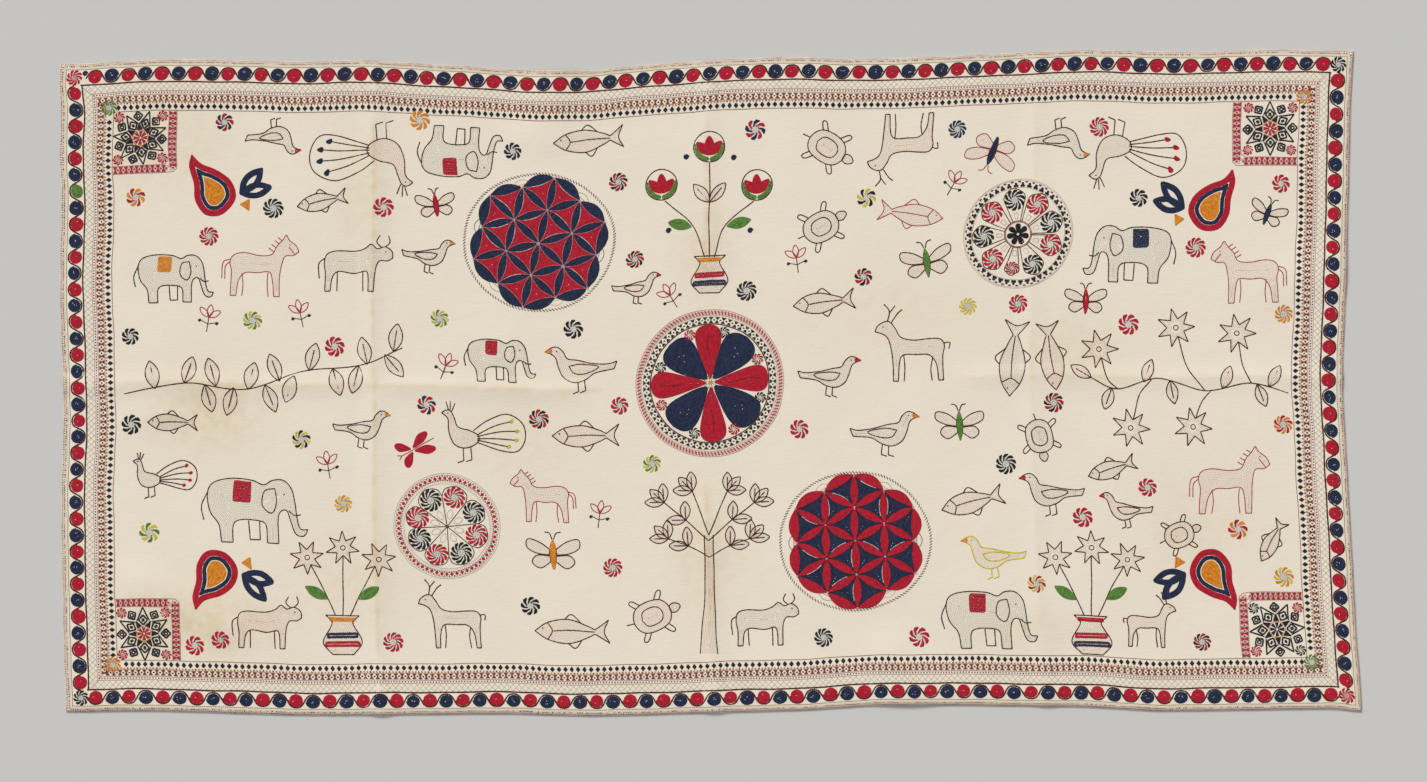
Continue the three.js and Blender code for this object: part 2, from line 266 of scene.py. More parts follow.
# %% Height of the upper face
THICKNESS = 2.4
HEM_THICKNESS = 1.7
HEM_SLOPE = 5
BORDER_RISE = [(0, 0), (12, 0.2), (24, 1.1), (37, 0.1), (46, 0.7), (57, 0.1), (72, 0.8), (88, 0)]
LOTUS = (12, 6)
RED_ROUNDEL = (-288, 267)
BLUE_ROUNDEL = (258, -280)
LEFT_WHEEL = (-450, -241)
RIGHT_WHEEL = (546, 255)
CORNER_STAR = (980, 433)
CORNERS = [(-1, 1), (1, 1), (-1, -1), (1, -1)]
RAISED = [
    # middle, radius, petals, turn, rise
    (LOTUS, 119, 8, 0, 1.2), (RED_ROUNDEL, 131, 6, 17, 1.4), (BLUE_ROUNDEL, 131, 6, 15, 1.4),
    (LEFT_WHEEL, 93, 8, 22, 0.9), (RIGHT_WHEEL, 96, 8, 0, 0.9),
    *[((sx * CORNER_STAR[0], sy * CORNER_STAR[1]), 42, 8, 0, 1.0) for sx, sy in CORNERS],
]
MEAN_SWELL, PETAL_SWELL = 0.7, 0.3
HUB = (0.1, 0.4)
SLOPE = (0.82, 1.0)


def inward(u, v):
    """How far a place lies in from the nearest hem."""
    return np.minimum(HALF_U - np.abs(u), HALF_V - np.abs(v))


def top_height(u, v):
    """Height of the cloth's upper face over the floor, in millimetres."""
    u, v = np.asarray(u, float), np.asarray(v, float)
    rim = inward(u, v)
    height = lift(u, v) + HEM_THICKNESS + (THICKNESS - HEM_THICKNESS) * ease(rim, 0, HEM_SLOPE)
    height = height + np.interp(rim, *zip(*BORDER_RISE))
    for (cu, cv), radius, petals, turn, rise in RAISED:
        share = np.hypot(u - cu, v - cv) / radius
        angle = np.arctan2(v - cv, u - cu) - math.radians(turn)
        swell = MEAN_SWELL + PETAL_SWELL * np.cos(petals * angle) * ease(share, *HUB)
        height = height + rise * swell * (1 - ease(share, *SLOPE))
    return height


print("the lotus stands", round(float(top_height(*LOTUS)), 2), "mm over the floor at its middle")

# %% [markdown]
# The sheet is a grid of points, closer together in the border and beside the folds, with an underside and
# a hem all round it. It could be a plane with a Displace modifier, but numpy writes the points at once and
# the hem comes out exact.

# %% Cloth sheet
BORDER = 88
BORDER_STEP = 5.5
FIELD_STEP = 15
FOLD_COLUMNS = (-575, 2, 575)
FOLD_ROW = 4
BESIDE_FOLD = (-7, -3, 0, 3, 7)
NEAREST_LINE = 3


def grid_lines(half, folds):
    border = np.arange(0, BORDER, BORDER_STEP) - half
    field = np.linspace(BORDER - half, half - BORDER, int((2 * half - 2 * BORDER) / FIELD_STEP) + 1)
    beside = [fold + step for fold in folds for step in BESIDE_FOLD]
    field = [line for line in field if all(abs(line - other) > NEAREST_LINE for other in beside)]
    return np.unique(np.r_[border, -border, field, beside])


columns = grid_lines(HALF_U, FOLD_COLUMNS)
rows = grid_lines(HALF_V, (FOLD_ROW,))
grid_u, grid_v = (axis.ravel() for axis in np.meshgrid(columns, rows, indexing="ij"))
grid_x, grid_y = drawn_in(grid_u, grid_v)
upper = np.column_stack([grid_x, grid_y, top_height(grid_u, grid_v)]) * MM
under = np.column_stack([grid_x, grid_y, lift(grid_u, grid_v)]) * MM

count = len(upper)
ids = np.arange(count).reshape(len(columns), len(rows))
upper_faces = np.stack([ids[:-1, :-1], ids[1:, :-1], ids[1:, 1:], ids[:-1, 1:]], -1).reshape(-1, 4)
rim = np.r_[ids[:-1, 0], ids[-1, :-1], ids[:0:-1, -1], ids[0, :0:-1]]
rim_next = np.roll(rim, -1)
hem_faces = np.stack([rim + count, rim_next + count, rim_next, rim], -1)
faces = np.vstack([upper_faces, upper_faces[:, ::-1] + count, hem_faces])

cloth_mesh = bpy.data.meshes.new("quilt_cloth")
cloth_mesh.from_pydata(np.vstack([upper, under]).tolist(), [], faces.tolist())
cloth_mesh.shade_smooth()
quilt = bpy.data.objects.new("quilt_cloth", cloth_mesh)
scene.collection.objects.link(quilt)
print("cloth:", 2 * len(faces), "triangles")

# %% [markdown]
# Old stains lie on the cloth: brown patches, and yellow lines along the folds. They could be painted, but a
# number on each point of the grid is enough, since a stain has no sharp edge. The points keep it as an
# attribute that the shader reads.

# %% Stains
UNDERSIDE_STAIN = 0.7
STAIN_FADE = 40
STAIN_REACH = 4.5
STAINS = [
    # middle, half width, half height, strength
    ((-870, -48), 95, 70, 0.55), ((-4, -290), 60, 120, 0.4), ((0, 235), 45, 90, 0.4),
    ((-890, -415), 120, 60, 0.6), ((655, 50), 70, 60, 0.35), ((-950, 430), 120, 90, 0.35),
    ((-620, -330), 120, 90, 0.25), ((330, 120), 160, 80, 0.2), ((-330, -90), 150, 110, 0.2),
    ((850, -250), 120, 100, 0.25), ((560, -440), 140, 40, 0.25), ((-590, 330), 60, 120, 0.3),
]
FOLD_LINES = [
    # along which axis, place, from, to, strength
    ("v", -575, -485, 485, 0.5), ("v", 2, 180, 485, 0.4), ("v", 2, -485, -150, 0.35),
    ("v", 575, -485, 485, 0.18), ("u", FOLD_ROW, -1030, -160, 0.42), ("u", FOLD_ROW, 440, 1030, 0.28),
]


def stain_at(u, v):
    stain = np.zeros_like(u)
    for (cu, cv), wide, tall, strength in STAINS:
        stain = stain + strength * np.exp(-(((u - cu) / wide) ** 2) - ((v - cv) / tall) ** 2)
    for axis, place, start, end, strength in FOLD_LINES:
        across, along = (u - place, v) if axis == "v" else (v - place, u)
        faded = ease(along, start, start + STAIN_FADE) * (1 - ease(along, end - STAIN_FADE, end))
        stain = stain + strength * faded * np.exp(-((across / STAIN_REACH) ** 2))
    return np.clip(stain, 0, 1)


stain_values = stain_at(grid_u, grid_v)
stained = cloth_mesh.attributes.new("stain", "FLOAT", "POINT")
stained.data.foreach_set("value", np.r_[stain_values, stain_values * UNDERSIDE_STAIN].astype(np.float32))
print("strongest stain:", round(float(stain_values.max()), 2))

# %% [markdown]
# Worn cotton is cream, never quite even, and the rows of running stitch pull it into small ripples. A
# Noise texture drawn out along the rows makes those, a broader one makes the looser puckers, and both
# only tilt the surface for the light, through a Bump node. Sizes are given by the real ripples: about 12
# mm by 4 mm.

# %% Cream cotton
RIPPLES = (1 / (12 * MM), 1 / (4 * MM), 1.0)

cotton, tree = new_material("Cream cotton")
place = add(tree, "ShaderNodeTexCoord").outputs["Object"]
stain = add(tree, "ShaderNodeAttribute", attribute_name="stain").outputs["Fac"]
patches = add(tree, "ShaderNodeTexNoise", {"Vector": place, "Scale": 7.0, "Detail": 4.0}).outputs["Fac"]
blots = add(tree, "ShaderNodeTexNoise", {"Vector": place, "Scale": 55.0, "Detail": 5.0}).outputs["Fac"]
ground = add(tree, "ShaderNodeMix", {"Factor": patches, 6: linear("E9E2D4"), 7: linear("E3DBCB")},
             data_type="RGBA")
broken = add(tree, "ShaderNodeMapRange", {"Value": blots, "From Min": 0.3, "From Max": 0.62,
                                          "To Min": 0.3, "To Max": 0.85})
amount = add(tree, "ShaderNodeMath", {0: stain, 1: broken.outputs["Result"]},
             operation="MULTIPLY", use_clamp=True)
tinted = add(tree, "ShaderNodeMix", {"Factor": amount.outputs[0], 6: ground.outputs[2], 7: linear("CDB88C")},
             data_type="RGBA")
drawn = add(tree, "ShaderNodeVectorMath", {0: place, 1: RIPPLES}, operation="MULTIPLY").outputs[0]
ripple = add(tree, "ShaderNodeTexNoise", {"Vector": drawn, "Scale": 1.0, "Detail": 2.0}).outputs["Fac"]
pucker = add(tree, "ShaderNodeTexNoise", {"Vector": place, "Scale": 38.0, "Detail": 3.0}).outputs["Fac"]
relief = add(tree, "ShaderNodeMath", {0: pucker, 1: 2.2, 2: ripple}, operation="MULTIPLY_ADD")
bump = add(tree, "ShaderNodeBump", {"Height": relief.outputs[0], "Strength": 0.3, "Distance": 0.9 * MM})
shader = add(tree, "ShaderNodeBsdfPrincipled", {"Base Color": tinted.outputs[2], "Roughness": 0.92,
                                                "Specular IOR Level": 0.15, "Normal": bump.outputs["Normal"]})
add(tree, "ShaderNodeOutputMaterial", {"Surface": shader.outputs["BSDF"]})
cloth_mesh.materials.append(cotton)
print(len(tree.nodes), "nodes in the cotton's shader")

# %% [markdown]
# Now the sewing. In Python a motif is only a set of lines on the cloth, kept for each thread until all are
# there. Stitching is done by hand on the real quilt, so every line wanders by up to about a millimetre.

# %% Lines on the cloth
THREAD_LIFT = 0.4
SWAY = 0.7
SHAKE = 0.35
sewing = {}
chance = random.Random(5)


def stitch(thread, points, width=1.0, length=1.0, over=0.0):
    """Adds a line of u, v points. Width and length are shares of the thread's own; over lifts it, in mm."""
    points = np.asarray(points, float)
    sewing.setdefault(thread, []).append((points, np.broadcast_to(width, len(points)), length, over))


def on_cloth(points, over):
    """u, v points as places in the room, in metres, on the cloth's upper face."""
    u, v = points.T
    drift_u = SWAY * np.sin(v / 29 + 1.3) * np.cos(u / 47) + SHAKE * np.sin(u / 11 + v / 13)
    drift_v = SWAY * np.sin(u / 33 + 0.4) * np.cos(v / 41) + SHAKE * np.sin(v / 12 - u / 14)
    x, y = drawn_in(u + drift_u, v + drift_v)
    return np.column_stack([x, y, top_height(u, v) + THREAD_LIFT + over]) * MM


print("a stitch at the middle lies at", on_cloth(np.zeros((1, 2)), 0.0).round(4).tolist(), "m")

# %% [markdown]
# Lines are arcs, or smooth curves through a few given points. A point that is given twice is a
# sharp corner, and a chart writes such a point in square brackets.

# %% Arcs and curves
def arc(centre, radius, start=0.0, end=360.0):
    count = max(7, int(abs(math.radians(end - start)) * radius / 3) + 1)
    turn = np.radians(np.linspace(start, end, count))
    return np.column_stack([centre[0] + radius * np.cos(turn), centre[1] + radius * np.sin(turn)])


def polar(centre, radius, angle):
    return np.array([centre[0] + radius * math.cos(math.radians(angle)),
                     centre[1] + radius * math.sin(math.radians(angle))])


def put(points, at, size=1.0, turn=0.0, flip=False):
    """Scales, mirrors, turns and moves points."""
    p = np.array(points, float) * size
    if flip:
        p[:, 0] = -p[:, 0]
    c, s = math.cos(math.radians(turn)), math.sin(math.radians(turn))
    return p @ np.array([[c, s], [-s, c]]) + at


def flow(points, closed):
    """A smooth curve through points."""
    p = np.array(points, float)
    p = np.vstack([p[-1:], p, p[:2]]) if closed else np.vstack([2 * p[0] - p[1], p, 2 * p[-1] - p[-2]])
    parts = []
    for a, b, c, d in zip(p, p[1:], p[2:], p[3:]):
        t = np.linspace(0, 1, max(2, int(np.hypot(*(c - b)) / 2.5) + 1), endpoint=False)[:, None]
        bend = (2 * a - 5 * b + 4 * c - d) + t * (3 * b - a - 3 * c + d)
        parts.append(b + 0.5 * t * ((c - a) + t * bend))
    return np.vstack([*parts, p[-2:-1]])


def curves(points, closed=False):
    """Splits points at their corners into smooth curves."""
    p = [tuple(q) for q in points]
    corners = [i for i in range(len(p) - 1) if p[i] == p[i + 1]]
    if closed and corners:
        first = corners[0] + 1
        p, closed = p[first:] + p[:first], False
    parts = [[p[0]]]
    for a, b in zip(p, p[1:]):
        if a == b:
            parts.append([b])
        else:
            parts[-1].append(b)
    return [flow(part, closed) for part in parts if len(part) > 1]


def sharp(points):
    """The same points, each a corner."""
    return np.repeat(np.asarray(points, float), 2, axis=0)


def chart(points):
    """Charted points, with those in square brackets given twice."""
    return np.array([p for p in points for _ in range(2 if isinstance(p, list) else 1)], float)


def draw(thread, points, closed=False, width=1.0):
    parts = curves(points, closed)
    for part in parts:
        stitch(thread, part, width)
    return np.vstack(parts)


print("a ring of 10 mm radius has", len(arc((0, 0), 10)), "points")

# %% [markdown]
# Solid petals are worked in rows that follow the outline inwards, each row a small step further in,
# until they meet. The same rows, set wider apart and broken into single dots, give the pale seed stitches
# that fill the animals. A point of a row is kept while no other part of the outline is nearer to it than
# the side it came from.

# %% Rows inside an outline
ROW = 1.9
SEED_PITCH = 2.9
SEED_HALF = 0.6


def inside(q, p):
    """Which points of q lie inside outline p: a ray to the right crosses it an odd number of times."""
    a, b = p, np.roll(p, -1, 0)
    crosses = (a[:, 1] > q[:, None, 1]) != (b[:, 1] > q[:, None, 1])
    rise = np.where(a[:, 1] == b[:, 1], 1, b[:, 1] - a[:, 1])
    at = a[:, 0] + (q[:, None, 1] - a[:, 1]) * (b[:, 0] - a[:, 0]) / rise
    return np.sum(crosses & (q[:, None, 0] < at), axis=1) % 2 == 1


def inner_rows(outline, first, pitch, last=math.inf):
    steps = np.hypot(*np.diff(outline, axis=0).T)
    along = np.r_[0, np.cumsum(steps)]
    even = np.linspace(0, along[-1], max(8, int(along[-1] / 2.2)), endpoint=False)
    p = np.column_stack([np.interp(even, along, axis) for axis in outline.T])
    ahead, behind = np.roll(p, -1, 0), np.roll(p, 1, 0)
    way = ahead - behind
    side = np.sign(np.sum(p[:, 0] * ahead[:, 1] - ahead[:, 0] * p[:, 1]))
    into = side * np.column_stack([-way[:, 1], way[:, 0]]) / np.maximum(np.hypot(*way.T), 1e-6)[:, None]
    found = []
    for depth in np.arange(first, min(last, np.ptp(p, axis=0).min() / 2), pitch):
        q = p + into * depth
        nearest = np.min(np.hypot(q[:, None, 0] - p[None, :, 0], q[:, None, 1] - p[None, :, 1]), axis=1)
        kept = (nearest > depth - 0.5 * pitch) & inside(q, p)
        if not kept.any():
            break
        if kept.all():
            found.append(np.vstack([q, q[:1]]))
        else:
            start = int(np.argmin(kept))
            q, kept = np.roll(q, -start, 0), np.roll(kept, -start)
            breaks = np.flatnonzero(np.diff(np.r_[0, kept.astype(int), 0]))
            found += [q[a:b] for a, b in zip(breaks[::2], breaks[1::2]) if b - a > 1]
    return found


def fill(thread, outline, first=ROW / 2, last=math.inf):
    for row in inner_rows(outline, first, ROW, last):
        stitch(thread, row)


def seeds(thread, outline):
    """Single stitches in rows that echo the outline."""
    for row in inner_rows(outline, SEED_PITCH, SEED_PITCH):
        along = np.r_[0, np.cumsum(np.hypot(*np.diff(row, axis=0).T))]
        for place in np.arange(chance.uniform(0.5, 2.5), along[-1], SEED_PITCH):
            ends = np.array([place - SEED_HALF, place + SEED_HALF])
            stitch(thread, np.column_stack([np.interp(ends, along, axis) for axis in row.T]))


print("rows in a round of 10 mm radius:", len(inner_rows(arc((0, 0), 10), ROW / 2, ROW)))

# %% [markdown]
# The four sides of the border are sewn alike. A side's own place is how far along it a stitch lies from its
# middle and how far in from the hem, and quarter turns serve all four sides. Small solid shapes come again
# and again: a round worked as a spiral, a triangle of stitches that fan out from its tip, and a diamond of
# five stitches side by side.

# %% Places along a side, and small solid shapes
RED, BLACK, BLUE, ORANGE, GREEN, YELLOW = (
    "red_fill", "black_fill", "blue_fill", "orange_fill", "green_fill", "yellow_fill")
SIDE_SHIFT = (0.8, 2.8, 1.5, 2.1)
SHIFT_EASE = 20
POINTS_A_TURN = 18
SPIRAL_HEART = 1.2
# step aside, height and width of each stitch, as shares of the diamond's half height
DIAMOND = [(-0.68, 0.28, 0.24), (-0.36, 0.64, 0.32), (0, 1, 0.4), (0.36, 0.64, 0.32), (0.68, 0.28, 0.24)]


def side_place(side, along, into):
    """A spot on the top, left, bottom or right side, whose bands are shifted in a little."""
    into = into + SIDE_SHIFT[side] * min(1, into / SHIFT_EASE)
    x, y = along, (HALF_U if side % 2 else HALF_V) - into
    return np.array([(x, y), (-y, x), (-x, -y), (y, -x)][side])


def corner_place(sx, sy, into):
    """A spot on a corner's diagonal, as far in as the bands of its two sides."""
    return np.array([sx * (HALF_U - into - SIDE_SHIFT[1 if sx < 0 else 3]),
                     sy * (HALF_V - into - SIDE_SHIFT[0 if sy > 0 else 2])])


def disc(thread, at, radius, flat=1.0, turn=0.0):
    """A round worked as one spiral of thread."""
    turns = radius / ROW
    t = np.linspace(0, 1, int(turns * POINTS_A_TURN))
    reach = radius - ROW / 2 - (radius - SPIRAL_HEART) * t
    angle = 2 * math.pi * turns * t
    spiral = np.column_stack([reach * np.cos(angle), flat * reach * np.sin(angle)])
    stitch(thread, put(spiral, at, turn=turn), length=0.65)


def fan(thread, tip, start, end, count, width=1.0, over=0.0):
    """A small solid triangle: stitches from its tip to places along its base."""
    for share in np.linspace(0, 1, count):
        stitch(thread, [tip, start + (end - start) * share], width, 3, over)


def hourglasses(place, start, end, low, high, pitch, triangle, speck, meet=1.0, over=0.0):
    """Triangles that meet tip to tip across a band, and a speck in each diamond between them."""
    middle = (low + high) / 2
    half_base = 0.3 * pitch
    for along in np.linspace(start, end, round((end - start) / pitch), endpoint=False):
        for edge in (low, high):
            tip = place(along, edge + (middle - edge) * meet)
            fan(triangle, tip, place(along - half_base, edge), place(along + half_base, edge), 4, 1.15, over)
        beside = along + pitch / 2
        stitch(speck, [place(beside - 1.4, middle), place(beside + 1.4, middle)], 1.8, over=over)


def diamonds(thread, place, start, end, middle, pitch, size):
    """A row of small solid diamonds."""
    for along in np.linspace(start, end, round((end - start) / pitch), endpoint=False):
        for step, tall, width in DIAMOND:
            ends = [place(along + step * size, middle + way * tall * size) for way in (-1, 1)]
            stitch(thread, ends, width * size, 4)


print("upper right corner of the field:", corner_place(1, 1, BORDER).tolist(), "mm")

# %% [markdown]
# The hem is whipped over with dark red and brown thread, and three rows of running stitch hold it. Long
# lines part the bands further in. Every row is set by how far in from the hem it lies and by its pitch.

# %% Hem and long lines
WHIP_PITCH = 2.9
HEM_PITCH = 4.0
# in from the hem, start, end and width of each row of running stitch
HEM_ROWS = [(4.8, 0, 2.6, 1.0), (3.2, 1, 3.6, 0.9), (7.0, 2, 4.6, 0.8)]
# in from the hem, thread and width of each long line
BAND_LINES = [(9.8, "olive_row", 1.0), (37.6, "brown_line", 1.35), (53.4, "mauve_line", 0.8),
              (59.6, "mauve_line", 0.9), (71.8, "mauve_line", 0.6), (88.0, "brown_row", 0.7)]


def hem(place, half):
    for along in np.arange(2 - half, half - 2, WHIP_PITCH):
        thread = chance.choice(["red_line", "brown_row", "brown_line"])
        stitch(thread, [place(along, 0.4), place(along + 0.9, 2.3)], 0.75)
    for along in np.arange(6 - half, half - 6, HEM_PITCH):
        varied = chance.choice(["beige_row", "brown_row", "red_line", "brown_line"])
        for thread, (into, start, end, width) in zip((varied, "beige_row", "beige_row"), HEM_ROWS):
            stitch(thread, [place(along + start, into), place(along + end, into)], width)
    for into, thread, width in BAND_LINES:
        stitch(thread, [place(along, into) for along in np.linspace(into - half, half - into, 200)], width)


print(len(HEM_ROWS), "rows of running stitch and", len(BAND_LINES), "long lines on each side")

# %% [markdown]
# Next to the hem runs the best-known kantha border: flattened discs, red and blue in turn, with a stem that
# weaves between them. The run holds an even number of equal steps, so that each side starts
# and ends with a red one. One disc is green.

# %% Discs and vine
DISC_PITCH = 28.5
DISC_RADIUS = 12.6
DISC_FLAT = 0.91
DISC_LINE = 23.5
GREEN_DISC = 333
VINE_REACH = 10.9


def discs_and_vine(place, half, side):
    """One side's discs, and the stem that passes them by turns."""
    first = DISC_LINE + 10 if side == 0 else DISC_LINE
    run = 2 * half - first - DISC_LINE
    discs = 2 * round(run / DISC_PITCH / 2)
    pitch = run / discs
    for k in range(1, discs):
        along = first - half + k * pitch
        red = k % 2 == 1
        thread = RED if red else BLUE
        if side == 1 and abs(along - GREEN_DISC) < pitch / 2:
            thread = GREEN
        middle = place(along, DISC_LINE + (1.3 if red else -1.2))
        disc(thread, middle, DISC_RADIUS * chance.uniform(0.96, 1.03), DISC_FLAT, 90 * side)
        # pale specks on each disc: painted highlights (glints), partly the pale cloth showing through
        for _ in range(1 if red else 3):
            speck = polar(middle, chance.uniform(0, 4.5), chance.uniform(0, 360))
            stitch("silver_line", [speck, polar(speck, 2, 90 * side)], 0.8, over=0.5)
    steps = np.arange(pitch * 0.45, run - pitch * 0.45, 2.2)
    sway = np.tanh(1.5 * np.cos(math.pi * steps / pitch)) / math.tanh(1.5)
    vine = [place(first - half + s, DISC_LINE + VINE_REACH * w) for s, w in zip(steps, sway)]
    stitch("brown_line", vine, 1.35)


print("a disc is", 2 * DISC_RADIUS, "mm long and the next one", DISC_PITCH, "mm on")

# %% [markdown]
# Further in are narrow bands: a faint trellis, a row of dots, small triangles that meet tip to tip, and
# black diamonds. Then each side is sewn from the hem inwards. A lone blue dot fills a gap near the upper
# left corner.

# %% Narrow bands, and all four sides
LONE_DOT = (-1075, 532)
TRELLIS = (38.8, 52)
TRELLIS_PITCH = 10.4
TRELLIS_LEAN = 12.2
DOT_LINE = 56.4
DOT_PITCH = 4.9
HOURGLASS_BAND = (61.2, 71.0)
HOURGLASS_PITCH = 10.6
TRIANGLE_BASE, TRIANGLE_TIP = 72.8, 75.4
TRIANGLE_PITCH = 5.6
TRIANGLE_THREADS = [("olive_row", 0.9), ("brown_row", 0.9), ("orange_fill", 0.5)]
DIAMOND_LINE = 81.0
DIAMOND_PITCH = 11.2
DIAMOND_SIZE = 4.4


def narrow_bands(place, half):
    for along in np.arange(40 - half, half - 52, TRELLIS_PITCH):
        for start, end in (TRELLIS, TRELLIS[::-1]):
            stitch("grey_line", [place(along, start), place(along + TRELLIS_LEAN, end)])
    for along in np.arange(58 - half, half - 58, DOT_PITCH):
        stitch("black_row", [place(along, DOT_LINE), place(along + 2.0, DOT_LINE)], 1.5)
    hourglasses(place, 68 - half, half - 64, *HOURGLASS_BAND, HOURGLASS_PITCH, "brown_row", "black_row")
    for k, along in enumerate(np.arange(76 - half, half - 76, TRIANGLE_PITCH)):
        thread, width = TRIANGLE_THREADS[k % 3]
        base = [place(along + step, TRIANGLE_BASE) for step in (-1.3, 1.3)]
        fan(thread, place(along, TRIANGLE_TIP), *base, 3, width)
    diamonds("black_row", place, 99 - half, half - 95, DIAMOND_LINE, DIAMOND_PITCH, DIAMOND_SIZE)


for side in range(4):
    on_side = partial(side_place, side)
    half_side = HALF_V if side % 2 else HALF_U
    hem(on_side, half_side)
    discs_and_vine(on_side, half_side, side)
    narrow_bands(on_side, half_side)
disc(BLUE, cloth_place(*LONE_DOT), radius=5.3)
print("border sewn,", sum(len(lines) for lines in sewing.values()), "lines")

# %% [markdown]
# A whirl is the kantha stitcher's favourite filler: a ring of curved blades, thin at the middle and thick
# at the rim, round a pale middle. A blade is three lines that leave one point and spread, and their
# thread grows wider on the way. The table says where the whirls lie and in which thread they are worked;
# a second thread takes every other blade.

# %% Whirls
BLADE_FOOT = 0.34
BLADE_SPAN = 0.66
BLADE_SWEEP = -75
BLADE = np.linspace(BLADE_FOOT, 1.0, 5)
BLADE_SWELL = np.linspace(0.22, 0.7, 5)
PALE = (0.08, 0.3, 0.5, 0.7)
PALE_SWELL = np.array([0.6, 1.3, 1.2, 0.6])
FULL_SIZE = 15.0
MIDDLES = {BLACK: "silver_line", RED: "mauve_line"}


def whirl(at, radius, thread, other=None, blades=10, turn=0.0, middle="silver_line"):
    gap = 360 / blades
    sweep = BLADE_SWEEP * (BLADE - BLADE_FOOT)
    spread = (BLADE - BLADE_FOOT) / BLADE_SPAN
    for k in range(blades):
        angle = turn + gap * k
        used = other if other and k % 2 else thread
        for aside in (-0.18, 0, 0.18):
            turns = angle + sweep + aside * gap * spread
            blade = [polar(at, radius * b, t) for b, t in zip(BLADE, turns)]
            stitch(used, blade, BLADE_SWELL * radius / blades, 0.084 * radius)
        pale = [polar(at, radius * b, angle + gap / 2 + BLADE_SWEEP * (b - BLADE_FOOT)) for b in PALE]
        stitch(middle, pale, PALE_SWELL * min(1, radius / FULL_SIZE))


WHIRLS = [
    (-835, 448, BLUE, RED), (-158, 346, RED, BLACK), (77, 435, BLUE, RED), (424, 436, BLUE, None),
    (-988, 319, RED, ORANGE), (-752, 300, BLACK, None), (736, 318, BLACK, None), (-862, 252, RED, None),
    (-562, 302, RED, None), (-130, 212, BLACK, RED), (268, 318, BLACK, YELLOW), (834, 232, RED, None),
    (-998, 80, BLACK, None), (-788, 108, YELLOW, GREEN), (-646, 62, RED, None), (-466, 110, YELLOW, GREEN),
    (-236, 92, BLACK, None), (62, 158, BLACK, None), (262, 182, BLACK, RED), (529, 135, RED, None),
    (718, 100, RED, None), (985, 118, ORANGE, None), (-488, -38, RED, BLUE), (-295, -62, BLACK, RED),
    (-156, -40, RED, None), (-704, -98, BLACK, YELLOW), (-996, -72, BLACK, None), (-101, -140, YELLOW, GREEN),
    (152, -80, RED, None), (508, -140, BLACK, None), (752, -180, RED, None), (984, -72, ORANGE, RED),
    (-965, -258, YELLOW, GREEN), (-632, -208, ORANGE, YELLOW), (-310, -384, BLACK, None),
    (-545, -446, RED, None), (-842, -442, RED, None), (194, -438, BLACK, None), (359, -437, RED, None),
    (846, -446, BLACK, RED),
    (907, -252, RED, ORANGE), (986, -334, ORANGE, YELLOW), (981, 342, RED, None), (-168, -318, RED, None),
    (640, -232, RED, None), (442, 132, YELLOW, None), (-886, -452, RED, None), (590, -34, BLACK, RED),
    (-340, 398, BLACK, BLUE), (668, 440, RED, None), (-500, 452, ORANGE, None), (560, -346, YELLOW, RED),
]
for k, (x, y, thread, other) in enumerate(WHIRLS):
    whirl(cloth_place(x, y), FULL_SIZE + k % 3, thread, other, blades=8 + 2 * (k % 2), turn=17 * k)

for (sx, sy), thread in zip(CORNERS, (GREEN, ORANGE, ORANGE, GREEN)):
    whirl(corner_place(sx, sy, 80), 13.5, thread, blades=10)
    outer = BLACK if sx == sy else RED
    whirl(corner_place(sx, sy, DISC_LINE), 13.2, outer, blades=9, middle=MIDDLES[outer])
print(len(WHIRLS), "whirls on the field")

# %% [markdown]
# Each inner corner holds a square with a star: a red or black rosette, kites round it and small squares
# between their points, all of diamonds within diamonds. One kite is charted along an axis and then turned.

# %% Corner stars
ROSETTE_FOOT, ROSETTE_TIP, ROSETTE_LEAN = 2, 12, 13
ROSETTE_RING = 13.6
KITE_TIP, KITE_WAIST, KITE_CROOK = 47.5, 23.5, 32.5
KITE_MIDDLE = 25
WEDGE_FOOT, WEDGE_TIP, WEDGE_LEAN = 14.6, 26, 17
SQUARE_MIDDLE = 38.5
# half length and thread width of a square's outer and inner lines
SQUARE_LINES = [(8.2, 2.3), (3.6, 1.9)]


def diamond(thread, centre, angle, half_long, half_wide, width=1.0):
    corners = [polar(centre, (half_wide if k % 2 else half_long), angle + 90 * k) for k in range(4)]
    draw(thread, sharp(corners), closed=True, width=width)


def corner_star(at, kites, turn, rosette):
    wide = 66 / kites
    for k in range(8):
        base = [polar(at, ROSETTE_TIP, 45 * k + lean) for lean in (-ROSETTE_LEAN, ROSETTE_LEAN)]
        fan(rosette, polar(at, ROSETTE_FOOT, 45 * k), *base, 5)
    stitch("orange_fill", arc(at, ROSETTE_RING), 0.5)
    for k in range(kites):
        angle = turn + 360 * k / kites
        for way in (-1, 1):
            crook = way * (wide - wide * wide / 25)
            half_kite = [(KITE_TIP, 0), (KITE_WAIST, way * wide), (KITE_CROOK, crook)]
            fan("black_row", *put(half_kite, at, turn=angle), 6, 1.6)
        kite = polar(at, KITE_MIDDLE, angle)
        diamond("black_row", kite, angle, 8.8, min(7.8, wide - 2.2), 2.2)
        stitch("black_row", [polar(kite, 2.8, angle), polar(kite, 2.8, angle + 180)], 3.4, length=2)
        beside = angle + 180 / kites
        base = [polar(at, WEDGE_FOOT, beside + lean) for lean in (-WEDGE_LEAN, WEDGE_LEAN)]
        fan("black_row", polar(at, WEDGE_TIP, beside), *base, 7, 1.4)
        for half, width in SQUARE_LINES:
            diamond("black_row", polar(at, SQUARE_MIDDLE, beside), beside, half, half, width)


print("a star is", 2 * KITE_TIP, "mm wide")

# %% [markdown]
# The sewer fitted seven kites into one star and six into the others. A small whirl lies in each corner of
# the square, and a pink frame of red hourglasses, with a line on either side, closes the square's two
# open sides.

